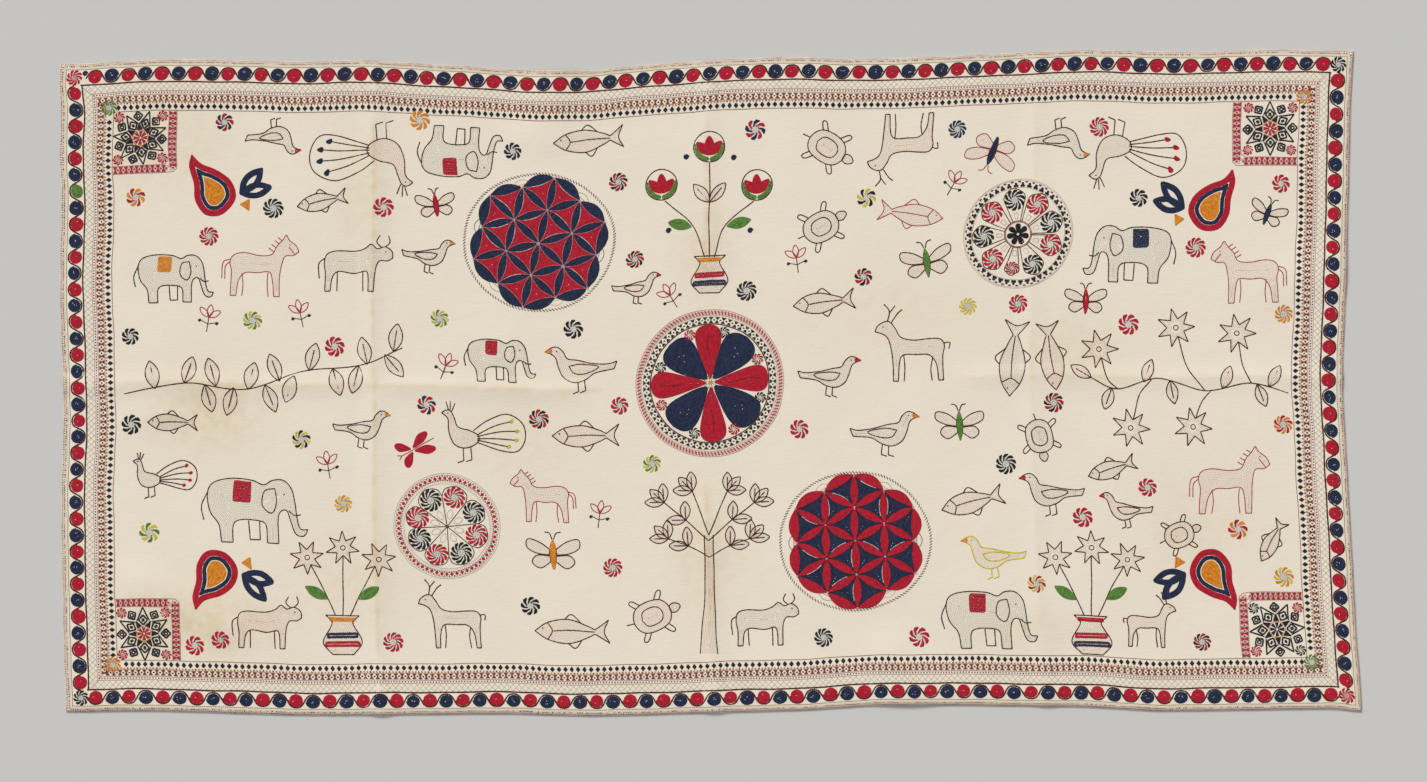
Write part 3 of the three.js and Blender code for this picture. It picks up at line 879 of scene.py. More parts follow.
# %% Corner squares
FRAME_BAND = 12
WHIRL_STEP = np.array([38.0, 37.0])
STARS = [
    # kites, turn, rosette's thread, length and height of the square
    (7, 20, "red_line", 98, 96), (6, 32, "red_line", 101, 99),
    (6, 31, "red_line", 98, 96), (6, 4, "black_row", 98, 101),
]


def corner_frame(edge, sx, sy, long, tall):
    for low, far, place in ((long, tall + 10, lambda a, d: edge - [sx * d, sy * a]),
                            (tall, long - 1, lambda a, d: edge - [sx * a, sy * d])):
        for into in np.arange(low + 1.2, low + FRAME_BAND, 2.4):
            along = np.linspace(2, far - 0.05 * (into - low) ** 2, 12)
            stitch("pink_seed", [place(a, into) for a in along], 2.3)
        hourglasses(place, 5, far, low, low + FRAME_BAND, 9.4, "red_line", "red_line", over=0.4)
    for past in (-1, FRAME_BAND + 1):
        corner = edge - [sx * (long + past), sy * (tall + past)]
        bend = corner + [0, sy * 16], corner + [sx * 4.5, sy * 4.5], corner + [sx * 16, 0]
        draw("mauve_line", [corner + [0, sy * (tall + past)], *bend, corner + [sx * (long + past), 0]])


for (sx, sy), (kites, turn, rosette, long, tall) in zip(CORNERS, STARS):
    edge = corner_place(sx, sy, BORDER)
    star = edge - [sx * (long / 2 - 1), sy * (tall / 2 - 1)]
    corner_star(star, kites, turn, rosette)
    for k, ways in enumerate(CORNERS):
        thread = BLACK if rosette == "black_row" and k in (0, 3) else RED
        whirl(star + WHIRL_STEP * ways, 9, thread, blades=8, middle=MIDDLES[thread])
    corner_frame(edge, sx, sy, long, tall)
print(len(STARS), "corner squares")

# %% [markdown]
# The middle of the quilt is a lotus of eight petals, red and blue in turn, in a chain of black hourglasses.
# A petal is a drop shape: narrow at the heart and round at its end. Its rows of thread follow that outline.
# A thin brown line down each red petal is a painted shadow of the crease where the petal buckles.

# %% Lotus
def petal(centre, angle, start, end, half_wide, round_end, fullness=0.8):
    t = np.linspace(0, 1, 40)
    wide = t**fullness * np.sqrt(1 - t**round_end)
    wide = half_wide * wide / wide.max()
    reach = start + (end - start) * t
    shape = np.vstack([np.column_stack([reach, wide]), np.column_stack([reach, -wide])[-2::-1]])
    return put(shape, centre, turn=angle)


def ring_place(centre, radius):
    return lambda along, into: polar(centre, into, math.degrees(along / radius))


RED_PETALS = (4, 91.5, 179.5, 273)
BLUE_PETALS = ((50, 101), (134.5, 99), (227.5, 98), (319, 103))
BETWEEN_PETALS = (25, 74, 112, 160, 202, 252, 296, 342)
CREASE_SHADOW = (46, 56, 66, 76, 88)
CREASE_SHADOW_SWELL = (0.2, 0.5, 0.6, 0.5, 0.2)
CHAIN = 111
# radius, thread and width of the rings round the chain of hourglasses
LOTUS_RINGS = [(117, "grey_line", 0.6), (119.6, "mauve_line", 0.6), (122.6, "pink_seed", 2.6),
               (126, "pink_seed", 2.6), (129.4, "mauve_line", 0.7)]
RIM_STITCHES = 136

for angle in RED_PETALS:
    outline = petal(LOTUS, angle, start=7, end=103, half_wide=22.4, round_end=7)
    fill(RED, outline)
    stitch("red_line", outline, 0.9, over=0.1)
    # painted shadow: a thin brown line along the crease down the middle of each red petal
    crease_shadow = [polar(LOTUS, reach, angle + 1.5 * math.sin(reach / 9)) for reach in CREASE_SHADOW]
    stitch("brown_line", crease_shadow, CREASE_SHADOW_SWELL, over=0.5)
for angle, end in BLUE_PETALS:
    outline = petal(LOTUS, angle, 9, end, half_wide=29.5, round_end=5, fullness=0.75)
    fill(BLUE, outline)
    stitch("black_row", outline, 1.2, over=0.1)
    stitch(BLUE, [polar(LOTUS, 18, angle), polar(LOTUS, 66, angle)])
    # pale specks on each blue petal: painted highlights (glints), partly the pale cloth showing through
    for reach in (60, 68, 73):
        speck = polar(LOTUS, reach, angle + chance.uniform(-5, 5))
        stitch("silver_line", [speck, speck + [2.0, 1.0]], 0.8, over=0.6)
for k, angle in enumerate(BETWEEN_PETALS):
    whirl(polar(LOTUS, 92, angle), 9.6, BLACK if k % 2 else RED, blades=8, turn=angle)
for k in range(8):
    stitch("olive_row", [polar(LOTUS, 2, 45 * k + 22), polar(LOTUS, 13, 45 * k + 22)])
disc("orange_fill", np.array(LOTUS), 3.4)
stitch("brown_line", arc(LOTUS, 104), 1.0)
hourglasses(ring_place(LOTUS, CHAIN), 0, 2 * math.pi * CHAIN, low=105.6, high=116.4, pitch=10.8,
            triangle="black_row", speck="black_row", meet=0.85)
for radius, thread, width in LOTUS_RINGS:
    stitch(thread, arc(LOTUS, radius), width)
for k in range(RIM_STITCHES):
    angle = 360 * k / RIM_STITCHES
    stitch("red_line", [polar(LOTUS, 121, angle), polar(LOTUS, 127.6, angle + 1.2)], 1.3, length=3, over=0.4)
print("lotus of", len(RED_PETALS) + len(BLUE_PETALS), "petals")

# %% [markdown]
# The two roundels are one pattern in swapped colours. Nineteen points lie on a grid of equal triangles, and
# every grid line is a pointed leaf. First come the leaf and a test for the grid lines on the rim.

# %% Pointed leaves
LEAF_POINTS = 24


def leaf_between(a, b, left, right):
    """A pointed leaf from a to b that bulges by left and right at its middle."""
    t = np.linspace(0, 1, LEAF_POINTS)[:, None]
    way = (b - a) / np.hypot(*(b - a))
    aside = np.array([-way[1], way[0]])
    bulge = 4 * t * (1 - t)
    line = a + (b - a) * t
    return np.vstack([line + aside * left * bulge, (line - aside * right * bulge)[-2::-1]])


def on_rim(first, second):
    """Whether a grid line lies on the rim: both its ends do, and it runs round, not across."""
    middle = np.add(first, second) / 2
    ends = [max(abs(q), abs(r), abs(q + r)) for q, r in (first, second, middle)]
    return ends == [2, 2, 2]


print("a leaf has", 2 * LEAF_POINTS - 1, "points")

# %% [markdown]
# Every triangle between three leaves is filled with the other colour, and the leaves on the rim bulge
# outwards into twelve lobes. Pale slits beside some leaves are painted highlights on the cream cloth that
# shows between leaf and triangle, and a rope of slanted stitches closes the rim.

# %% Roundels
GRID = 59.0
LOBE = 13.0
LOBE_BACK = 4.5
SLIT_CHANCE = 0.6
# half length and half height of the rope's inner and outer edge
ROPE_INNER, ROPE_OUTER = (128.5, 119.5), (133, 124)
ROPE_STITCHES = 150


def roundel(centre, turn, triangle_thread, leaf_thread, leaf, seam):
    steps = [polar((0, 0), GRID, turn), polar((0, 0), GRID, turn + 60)]
    nodes = {(q, r): centre + q * steps[0] + r * steps[1]
             for q in range(-2, 3) for r in range(-2, 3) if abs(q + r) <= 2}
    for (q, r), a in nodes.items():
        for dq, dr in ((1, 0), (0, 1), (-1, 1)):
            b = nodes.get((q + dq, r + dr))
            if b is None:
                continue
            out = (a + b) / 2 - centre
            left_out = (b - a)[0] * out[1] - (b - a)[1] * out[0] > 0
            bulges = (leaf, leaf)
            if on_rim((q, r), (q + dq, r + dr)):
                bulges = (LOBE, LOBE_BACK) if left_out else (LOBE_BACK, LOBE)
            inset = 0.015 * (b - a)
            outline = leaf_between(a + inset, b - inset, *bulges)
            fill(leaf_thread, outline)
        for other, third in (((1, 0), (0, 1)), ((0, 1), (-1, 1))):
            spots = [(q, r), (q + other[0], r + other[1]), (q + third[0], r + third[1])]
            if any(spot not in nodes for spot in spots):
                continue
            a, b, c = (nodes[spot] for spot in spots)
            sides = []
            for p, s in zip(spots, spots[1:] + spots[:1]):
                bulge = LOBE_BACK if on_rim(p, s) else leaf
                sides.append(leaf_between(nodes[p], nodes[s], bulge + 0.5, 0)[:LEAF_POINTS])
            middle = (a + b + c) / 3
            outline = middle + (np.vstack([*sides, sides[0][:1]]) - middle) * 0.98
            fill(triangle_thread, outline)
            stitch(seam, outline, 0.5, over=0.3)
            # pale slit along one side of the triangle: painted highlight, partly the cream cloth between leaf
            # and triangle
            if chance.random() < SLIT_CHANCE:
                start = LEAF_POINTS * chance.randrange(3) + 5
                stitch("silver_line", outline[start : start + 13], 0.9, over=0.6)
        stitch("mauve_line", [a - [1.6, 0], a + [1.6, 0]], 2.0, over=0.8)
    for k in range(ROPE_STITCHES):
        low, high = np.radians([2.4 * k, 2.4 * k + 1.6])
        ends = [centre + (long * math.cos(angle), tall * math.sin(angle))
                for (long, tall), angle in ((ROPE_INNER, low), (ROPE_OUTER, high))]
        stitch("black_row", ends, 0.85, length=2)
    stitch("beige_row", arc((0, 0), 131) * (1, 0.93) + centre, 0.7)
    for k in range(6):
        notch = turn + 30 + 60 * k
        sliver = leaf_between(polar(centre, 109, notch - 8), polar(centre, 109, notch + 8), 1, 8)
        stitch(("olive_row", "beige_row", "black_row")[k % 3], sliver, 0.7)


roundel(np.array(RED_ROUNDEL, float), 17, RED, BLUE, 6.3, "mauve_line")
roundel(np.array(BLUE_ROUNDEL, float), 29.5, BLUE, RED, 6.9, "black_row")
print("roundels sewn,", sum(len(lines) for lines in sewing.values()), "lines")

# %% [markdown]
# Two wheels carry whirls. The left one has eight round-ended sectors in a ring of red diamonds.

# %% Left wheel
# radius, thread and width of each ring
LEFT_RINGS = [(92.5, "grey_line", 1.2), (89.6, "mauve_line", 0.5), (80, "mauve_line", 0.5),
              (75, "grey_line", 1)]
LEFT_BAND = 84.3
LEFT_DIAMONDS = 59
LEFT_SEEDS = 130
LEFT_SPOKES = (5, 51, 98, 144, 183, 227, 272, 320)


def dot(thread, centre, radius, angle, size):
    """One short thick stitch across a ring."""
    ends = [polar(centre, radius - size / 2, angle), polar(centre, radius + size / 2, angle)]
    stitch(thread, ends, 0.8 * size)


def left_wheel(centre):
    for radius, thread, width in LEFT_RINGS:
        stitch(thread, arc(centre, radius), width)
    diamonds("red_line", ring_place(centre, LEFT_BAND), 0, 2 * math.pi * LEFT_BAND, LEFT_BAND, 9.0, 3.5)
    for k in range(LEFT_DIAMONDS):
        for radius in (80.9, 87.7):
            dot("red_line", centre, radius, 360 * (k + 0.5) / LEFT_DIAMONDS, 2.0)
    for k in range(LEFT_SEEDS):
        angle = 360 * k / LEFT_SEEDS
        stitch("grey_seed", [polar(centre, 77.6, angle), polar(centre, 77.6, angle + 0.9)])
    for k, (start, end) in enumerate(zip(LEFT_SPOKES, (*LEFT_SPOKES[1:], LEFT_SPOKES[0] + 360))):
        middle, wide = (start + end) / 2, (end - start) / 2
        stitch("brown_line", [polar(centre, 1, start), polar(centre, 56, start)], 0.8)
        bend = wide * 0.72
        sector = [(54, start), (66.5, middle - bend), (72.5, middle), (66.5, middle + bend), (54, end)]
        draw("brown_line", [polar(centre, *spot) for spot in sector], width=0.8)
        whirl(polar(centre, 52.5, middle), 18.4, RED if k % 2 else BLACK, blades=11, turn=middle)
        stitch("grey_line", leaf_between(polar(centre, 13, middle), polar(centre, 31, middle), 5, 5))
    disc(RED, centre, 2.8)


left_wheel(np.array(LEFT_WHEEL, float))
print("left wheel of", len(LEFT_SPOKES), "sectors")

# %% [markdown]
# The right wheel has drop-shaped spokes round a black rosette, with one small spoke squeezed in where the
# sewer ran out of room. Its ring is made of clusters of black dots.

# %% Right wheel
RIGHT_RINGS = [(95.5, "grey_line"), (93.5, "pink_seed"), (81, "grey_line")]
RIGHT_CLUSTERS = 46
# radius, step round the ring and size of a cluster's dots
CLUSTER = [(84, 0.17, 3.9), (84, -0.17, 3.9), (88, 0, 3.7), (91, 0.42, 2.3), (91, 0.58, 2.3)]
# angle, thread and radius of the whirl in each spoke
RIGHT_SPOKES = [(97, BLACK, 17.5), (57.5, RED, 17.5), (18, BLACK, 17.5), (-20, RED, 17.5), (-64, BLACK, 16.5),
                (-99, RED, 11), (-135, RED, 17), (182.5, BLACK, 17.5), (140, RED, 17.5)]
# radius and step aside of the corners of the pale wedge between hub and whirl
WEDGE = [(28, -5), (38, -5.5), (38, 5.5), (28, 5)]
HUB_PETALS = 7


def right_wheel(centre):
    for radius, thread in RIGHT_RINGS:
        stitch(thread, arc(centre, radius))
    for k in range(RIGHT_CLUSTERS):
        for radius, step, size in CLUSTER:
            dot("black_row", centre, radius, 360 * (k + step) / RIGHT_CLUSTERS, size)
    for angle, thread, radius in RIGHT_SPOKES:
        hub = polar(centre, 60, angle)
        whirl(hub, radius, thread, blades=10, turn=angle)
        side = [(-38, 0.36 * radius), (-12, 0.84 * radius), (4, radius + 1.5), (0.76 * radius, 0.74 * radius)]
        drop = [(x, -y) for x, y in side] + [(radius + 3, 0)] + side[::-1]
        draw("brown_line", put(drop, hub, turn=angle), width=0.8)
        inner = [polar(centre, reach, angle + lean) for reach, lean in WEDGE]
        draw("grey_line", sharp(inner), closed=True)
    stitch("red_line", arc(centre, 21.8), 0.9)
    stitch("brown_line", arc(centre, 23.6), 0.6)
    for k in range(HUB_PETALS):
        fill(BLACK, petal(centre, 90 + 360 * k / HUB_PETALS, 1.5, 19.5, 4.8, 4))


right_wheel(np.array(RIGHT_WHEEL, float))
print("right wheel of", len(RIGHT_SPOKES), "spokes")

# %% [markdown]
# The field between the medallions is full of animals and plants. On a kantha these are plain outlines in
# back stitch with pale seed stitches inside. Each animal here is a short chart of points in units of its
# own half length: "seeded" is an outline with seeds in it, "line" an open line, "solid" a patch of colour
# and "dot" an eye. They could be Bezier curves drawn in the viewport, but a short list is easier to read
# and mend.

# %% Charts of fish and birds
CHARTS = {
    "fish": [
        ("seeded", [[-1, 0], (-0.62, 0.25), (-0.1, 0.33), (0.4, 0.17), [0.62, 0.06], [1, 0.33], (0.86, 0),
                    [1, -0.33], [0.62, -0.06], (0.4, -0.17), (-0.1, -0.33), (-0.62, -0.25)]),
        ("line", [(-0.64, 0.22), (-0.52, 0), (-0.64, -0.22)]),
        ("line", [(-0.2, 0.32), (0, 0.47), (0.25, 0.24)]),
        ("line", [(-0.1, -0.33), (0.08, -0.46), (0.25, -0.24)]), ("line", [(-0.5, 0), (0, 0.03), (0.6, 0)]),
        ("dot", [(-0.78, 0.07)]),
    ],
    "bird": [
        ("seeded", [[-1, 0.5], (-0.84, 0.62), (-0.66, 0.64), (-0.5, 0.5), (-0.4, 0.32), (-0.1, 0.27),
                    (0.3, 0.18), (0.75, 0.14), [1, 0.2], [0.92, -0.02], (0.4, -0.1), (0.12, -0.28),
                    (-0.2, -0.36), (-0.5, -0.22), (-0.64, 0.06), (-0.72, 0.34), (-0.84, 0.44)]),
        ("line", [(-0.36, 0.1), (0, 0.16), (0.5, 0.08), (0.15, -0.1), (-0.2, -0.1), (-0.36, 0.1)]),
        ("line", [(-0.1, -0.35), [-0.08, -0.62], (-0.24, -0.68)]),
        ("line", [(0.08, -0.3), [0.12, -0.6], (-0.04, -0.66)]),
        ("solid", [[-1.04, 0.5], [-0.82, 0.62], [-0.82, 0.43]]), ("dot", [(-0.7, 0.53)]),
    ],
    "peacock": [
        ("seeded", [[-0.72, 0.62], (-0.6, 0.7), (-0.48, 0.66), (-0.4, 0.48), (-0.3, 0.24), (0, 0.16),
                    (0.24, 0.02), (0.2, -0.18), (-0.1, -0.32), (-0.4, -0.22), (-0.54, 0.1),
                    (-0.56, 0.46)]),
        ("line", [(0.1, 0.16), (0.5, 0.44), (1, 0.62), (1.42, 0.4), (1.5, 0), (1.3, -0.36), (0.9, -0.36),
                  (0.2, -0.16)]),
        ("line", [(0.2, 0.05), (0.7, 0.3), (1.1, 0.42)]), ("line", [(0.2, 0), (0.8, 0.14), (1.24, 0.18)]),
        ("line", [(0.2, -0.06), (0.8, -0.04), (1.22, -0.06)]),
        ("line", [(0.2, -0.1), (0.7, -0.18), (1.04, -0.24)]),
        ("solid", [(1.1, 0.36), (1.22, 0.46), (1.12, 0.52)]),
        ("solid", [(1.24, 0.12), (1.38, 0.2), (1.24, 0.24)]),
        ("solid", [(1.22, -0.12), (1.36, -0.06), (1.22, 0)]),
        ("solid", [(1.02, -0.3), (1.16, -0.24), (1.04, -0.18)]), ("line", [(-0.54, 0.7), (-0.6, 0.92)]),
        ("line", [(-0.5, 0.7), (-0.48, 0.94)]), ("line", [(-0.46, 0.66), (-0.36, 0.88)]),
        ("line", [(-0.16, -0.32), [-0.14, -0.66], (-0.3, -0.72)]),
        ("line", [(0.04, -0.27), [0.08, -0.62], (-0.08, -0.68)]), ("dot", [(-0.56, 0.61)]),
    ],
}
print("charted:", *CHARTS)

# %% [markdown]
# A larger animal is one outline that runs round its body and two of its legs. Further legs, an ear, a
# mane and a tail are open lines.

# %% Charts of four-legged animals
CHARTS |= {
    "elephant": [
        ("seeded", [(0.98, 0.3), (0.84, 0.52), (0.45, 0.62), (0, 0.6), (-0.26, 0.5), (-0.44, 0.6),
                    (-0.68, 0.6), (-0.86, 0.42), (-0.93, 0.12), (-0.97, -0.2), (-1.04, -0.44),
                    [-1.2, -0.46], (-1.12, -0.6), (-0.94, -0.56), (-0.84, -0.3), (-0.76, -0.06),
                    (-0.62, -0.08), (-0.55, -0.3), [-0.56, -0.78], [-0.32, -0.78], (-0.28, -0.36),
                    (0, -0.28), (0.3, -0.3), (0.42, -0.42), [0.42, -0.78], [0.67, -0.78], (0.72, -0.4),
                    (0.92, -0.1)]),
        ("line", [(-0.5, 0.42), (-0.28, 0.36), (-0.22, 0.05), (-0.42, -0.12), (-0.54, 0.12), (-0.5, 0.42)]),
        ("line", [(-0.8, -0.06), (-0.92, -0.16), (-1.06, -0.14)]),
        ("line", [(-0.16, -0.3), [-0.16, -0.72], [0.06, -0.72], (0.08, -0.3)]),
        ("line", [(0.98, 0.3), (1.1, 0), (1.05, -0.3)]),
        ("solid", [[0.02, 0.56], [0.4, 0.58], [0.42, 0.12], [0.04, 0.1]]), ("dot", [(-0.7, 0.3)]),
    ],
    "deer": [
        ("seeded", [[-1, 0.4], (-0.94, 0.54), (-0.78, 0.64), (-0.64, 0.64), (-0.5, 0.46), (-0.36, 0.24),
                    (-0.05, 0.17), (0.35, 0.2), (0.62, 0.18), (0.73, 0.02), (0.7, -0.2), (0.7, -0.5),
                    [0.72, -0.86], [0.6, -0.86], (0.54, -0.45), (0.36, -0.22), (0.05, -0.2), (-0.3, -0.2),
                    (-0.4, -0.42), [-0.42, -0.86], [-0.54, -0.86], (-0.56, -0.4), (-0.6, -0.04),
                    (-0.68, 0.22), (-0.82, 0.34)]),
        ("line", [(0.44, -0.26), (0.4, -0.55), (0.44, -0.86)]),
        ("line", [(-0.28, -0.2), (-0.26, -0.5), (-0.28, -0.86)]),
        ("line", [(-0.7, 0.64), (-0.66, 0.9), (-0.8, 1.08)]), ("line", [(-0.66, 0.86), (-0.52, 1.04)]),
        ("line", [(-0.6, 0.62), (-0.46, 0.84), (-0.34, 0.94)]),
        ("line", [(0.72, 0.08), (0.86, 0.1), (0.84, -0.06)]), ("dot", [(-0.8, 0.52)]),
    ],
    "horse": [
        ("seeded", [[-1, 0.32], (-0.92, 0.48), (-0.74, 0.62), (-0.66, 0.76), (-0.58, 0.64), (-0.42, 0.46),
                    (-0.3, 0.24), (0, 0.2), (0.4, 0.26), (0.66, 0.2), (0.76, 0.02), (0.72, -0.2),
                    (0.74, -0.5), [0.76, -0.84], [0.62, -0.84], (0.54, -0.45), (0.36, -0.24),
                    (0.05, -0.24), (-0.26, -0.22), (-0.34, -0.45), [-0.36, -0.84], [-0.5, -0.84],
                    (-0.52, -0.4), (-0.56, -0.06), (-0.64, 0.2), (-0.84, 0.22)]),
        ("line", [(0.44, -0.26), (0.42, -0.55), (0.46, -0.84)]),
        ("line", [(-0.22, -0.24), (-0.2, -0.5), (-0.22, -0.84)]),
        ("line", [(0.75, 0.08), (0.94, 0), (0.98, -0.4)]),
        ("line", [(0.75, 0.02), (0.88, -0.1), (0.9, -0.42)]), ("line", [(-0.56, 0.6), (-0.44, 0.68)]),
        ("line", [(-0.48, 0.52), (-0.36, 0.6)]), ("line", [(-0.4, 0.42), (-0.28, 0.5)]),
        ("line", [(-0.34, 0.32), (-0.22, 0.4)]), ("line", [(-0.9, 0.24), (-0.74, 0.44)]),
        ("dot", [(-0.76, 0.5)]),
    ],
    "cow": [
        ("seeded", [[-1, 0.14], (-0.98, 0.32), (-0.8, 0.44), (-0.6, 0.38), (-0.44, 0.5), (-0.28, 0.38),
                    (0, 0.3), (0.5, 0.32), (0.74, 0.24), (0.8, 0), (0.76, -0.3), [0.78, -0.74],
                    [0.64, -0.74], (0.58, -0.36), (0.42, -0.22), (0, -0.28), (-0.3, -0.22), (-0.36, -0.4),
                    [-0.36, -0.74], [-0.5, -0.74], (-0.52, -0.35), (-0.56, -0.1), (-0.66, 0.06),
                    (-0.86, 0.06)]),
        ("line", [(-0.8, 0.44), (-0.92, 0.56), (-0.88, 0.74)]),
        ("line", [(-0.7, 0.43), (-0.58, 0.56), (-0.66, 0.74)]), ("line", [(0.46, -0.24), (0.46, -0.74)]),
        ("line", [(-0.22, -0.24), (-0.22, -0.74)]), ("line", [(0.79, 0.14), (0.94, 0), (0.92, -0.4)]),
        ("dot", [(-0.82, 0.3)]),
    ],
}
print("charted:", *CHARTS)

# %% [markdown]
# Small animals are seen from above. Their wings, legs and feelers match, so each is charted once and
# mirrored.

# %% Charts of small animals
def both(kind, points, sx, sy):
    """A charted line and its mirror image."""
    return [(kind, chart(points)), (kind, chart(points) * (sx, sy))]


CHARTS |= {
    "turtle": [
        ("seeded", [(0.7, 0), (0.5, 0.44), (0, 0.56), (-0.5, 0.44), (-0.7, 0), (-0.5, -0.44), (0, -0.56),
                    (0.5, -0.44)]),
        ("line", [(0.4, 0), (0.28, 0.26), (0, 0.32), (-0.28, 0.26), (-0.4, 0), (-0.28, -0.26), (0, -0.32),
                  (0.28, -0.26), (0.4, 0)]),
        ("seeded", [[-0.68, 0.12], (-0.86, 0.18), (-1.06, 0.06), (-1.06, -0.06), (-0.86, -0.18),
                    [-0.68, -0.12]]),
        *both("line", [(-0.44, 0.46), (-0.62, 0.74), (-0.48, 0.8), (-0.26, 0.53)], -1, 1),
        *both("line", [(-0.44, -0.46), (-0.62, -0.74), (-0.48, -0.8), (-0.26, -0.53)], -1, 1),
        ("line", [(0.68, 0), (0.98, 0.04)]),
    ],
    "butterfly": [
        ("solid", [[0, 0.62], (0.12, 0.3), (0.1, -0.3), [0, -0.62], (-0.1, -0.3), (-0.12, 0.3)]),
        *both("seeded", [[0.12, 0.22], (0.5, 0.5), (0.95, 0.6), (0.98, 0.28), (0.6, 0.06), [0.14, 0]], -1, 1),
        *both("seeded", [[0.12, -0.04], (0.62, -0.02), (0.8, -0.3), (0.5, -0.52), [0.1, -0.26]], -1, 1),
        *both("line", [(0.03, 0.62), (0.12, 0.86), (0.3, 0.9)], -1, 1),
    ],
    "dragonfly": [
        *both("solid", [[0.04, 0.1], (0.5, 0.46), (0.9, 0.4), (0.6, 0.1), [0.04, 0.04]], 1, -1),
        *both("solid", [[-0.04, 0.1], (-0.3, 0.5), (-0.56, 0.56), (-0.5, 0.2), [-0.04, 0.04]], 1, -1),
        ("line", [(-0.5, 0), (0, 0), (1, 0.02)]),
        *both("line", [(-0.5, 0), (-0.66, 0.1)], 1, -1),
    ],
}
print("charted:", *CHARTS)

# %% [markdown]
# One function sews any of these charts, each part in its own stitch. The table gives the animals' places:
# name, x, y, half length, turn, mirrored, accent, seed thread and outline thread. What a row leaves out
# is as usual: upright, red accents, pink seeds and a brown outline. The animals face all ways, because a
# coverlet is sewn and seen from every side.

# %% Animals on the field
PINK, GREY = "pink_seed", "grey_seed"
BROWN, REDS, DARK = "brown_line", "red_line", "black_line"


def animal(name, x, y, size, turn=0, flip=False, accent=RED, seed=PINK, line=BROWN):
    at = cloth_place(x, y)
    for kind, points in CHARTS[name]:
        placed = put(chart(points), at, size, turn, flip)
        if kind == "seeded":
            seeds(seed, draw(line, placed, closed=True))
        elif kind == "solid":
            fill(accent, np.vstack(curves(placed, closed=True)))
        elif kind == "dot":
            stitch(line, [placed[0] - [1, 0], placed[0] + [1, 0]], 1.2)
        else:
            draw(line, placed)


ANIMALS = [
    ("bird", -752, 424, 48, 180), ("peacock", -570, 395, 80, 180, False, BLUE),
    ("elephant", -434, 392, 64, 180, False, RED, GREY, DARK), ("fish", -210, 416, 60, 4),
    ("turtle", 200, 405, 48, 150), ("deer", 335, 408, 66, 180, True),
    ("butterfly", 486, 400, 44, 160, False, BLUE, PINK, REDS),
    ("bird", 598, 420, 54, 180, False, ORANGE, GREY), ("peacock", 705, 402, 76, 180, True),
    ("elephant", -926, 184, 60, 0, True, ORANGE, GREY, DARK),
    ("horse", -775, 205, 68, 0, True, RED, PINK, REDS), ("cow", -612, 206, 66, 0, True, RED, GREY),
    ("bird", -486, 218, 46, 0, True, ORANGE, GREY), ("butterfly", -472, 304, 34, 8),
    ("fish", -668, 312, 44, 12, False, RED, GREY), ("turtle", 190, 268, 46, 30, True, RED, GREY),
    ("fish", 345, 290, 56, -10, True, RED, PINK, REDS), ("butterfly", 372, 206, 44, 10, False, GREEN),
    ("elephant", 724, 226, 70, 0, False, BLUE, GREY, DARK),
    ("horse", 926, 194, 68, 0, False, RED, PINK, REDS), ("butterfly", 957, 290, 32, -20, False, BLUE),
    ("bird", -600, -80, 50, 0, True, ORANGE, GREY), ("elephant", -365, 42, 54, 0, True, RED, GREY, DARK),
    ("bird", -222, 22, 62, 0, False, ORANGE), ("fish", -215, -92, 58),
    ("peacock", -415, -92, 66, 0, False, YELLOW), ("fish", 195, 138, 54, 8),
    ("bird", 204, 10, 54, 0, True, RED, GREY), ("deer", 352, 62, 70),
    ("butterfly", 428, -74, 42, 0, False, GREEN), ("bird", 300, -88, 60, 0, True, ORANGE, GREY),
    ("fish", 520, 42, 66, 84, False, RED, GREY), ("fish", 586, 46, 60, 98),
    ("turtle", 566, -92, 42, 100, False, RED, GREY), ("butterfly", 645, 140, 36),
    ("fish", 690, -148, 44, 20, False, RED, GREY), ("peacock", -958, -164, 50, 0, False, RED, GREY),
    ("elephant", -788, -214, 80, 0, True, RED, GREY, DARK), ("fish", -925, -68, 44, 0, False, RED, GREY),
    ("dragonfly", -512, -116, 42, 30, False, RED, PINK, REDS),
    ("horse", -288, -192, 58, 0, False, RED, PINK, REDS), ("butterfly", -270, -296, 46, 0, False, ORANGE),
    ("fish", 450, -205, 56, 15), ("bird", 588, -192, 56, 0, False, RED, GREY), ("bird", 716, -220, 46),
    ("horse", 892, -165, 72, 0, True, RED, PINK, REDS), ("turtle", 806, -262, 38, 200),
    ("fish", 965, -272, 40, 60), ("cow", -764, -412, 62, 0, True), ("deer", -440, -404, 62),
    ("fish", -238, -428, 64), ("turtle", -100, -402, 48, 20, True),
    ("cow", 92, -408, 60, 0, True, RED, GREY), ("elephant", 476, -402, 72, 0, True, RED, GREY, DARK),
    ("bird", 488, -300, 56, 0, False, ORANGE, PINK, YELLOW), ("deer", 752, -412, 50, 0, True),
    ("bird", -128, 162, 42, 0, True),
]
for row in ANIMALS:
    animal(*row)
print(len(ANIMALS), "animals")

# %% [markdown]
# Plants fill what is left. A stem is a line through listed points; flowers and leaves sit along it and
# at its ends. A leaf is an outline with a rib and seeds, or solid.

# %% Stems, leaves and flowers
STAR_POINTS = 7
STAR_NOTCH = 0.45


def stem(points):
    draw(BROWN, [cloth_place(x, y) for x, y in points])


def leaf(x, y, length, wide, turn, solid=None):
    at = cloth_place(x, y)
    tip = polar(at, length, turn)
    outline = leaf_between(at, tip, wide / 2, wide / 2)
    if solid:
        # one half, and then the whole over it
        fill(solid, outline[:LEAF_POINTS + 1])
        fill(solid, outline)
        return
    draw(BROWN, outline)
    stitch(BROWN, [at, at + (tip - at) * 0.75])
    seeds(PINK, outline)


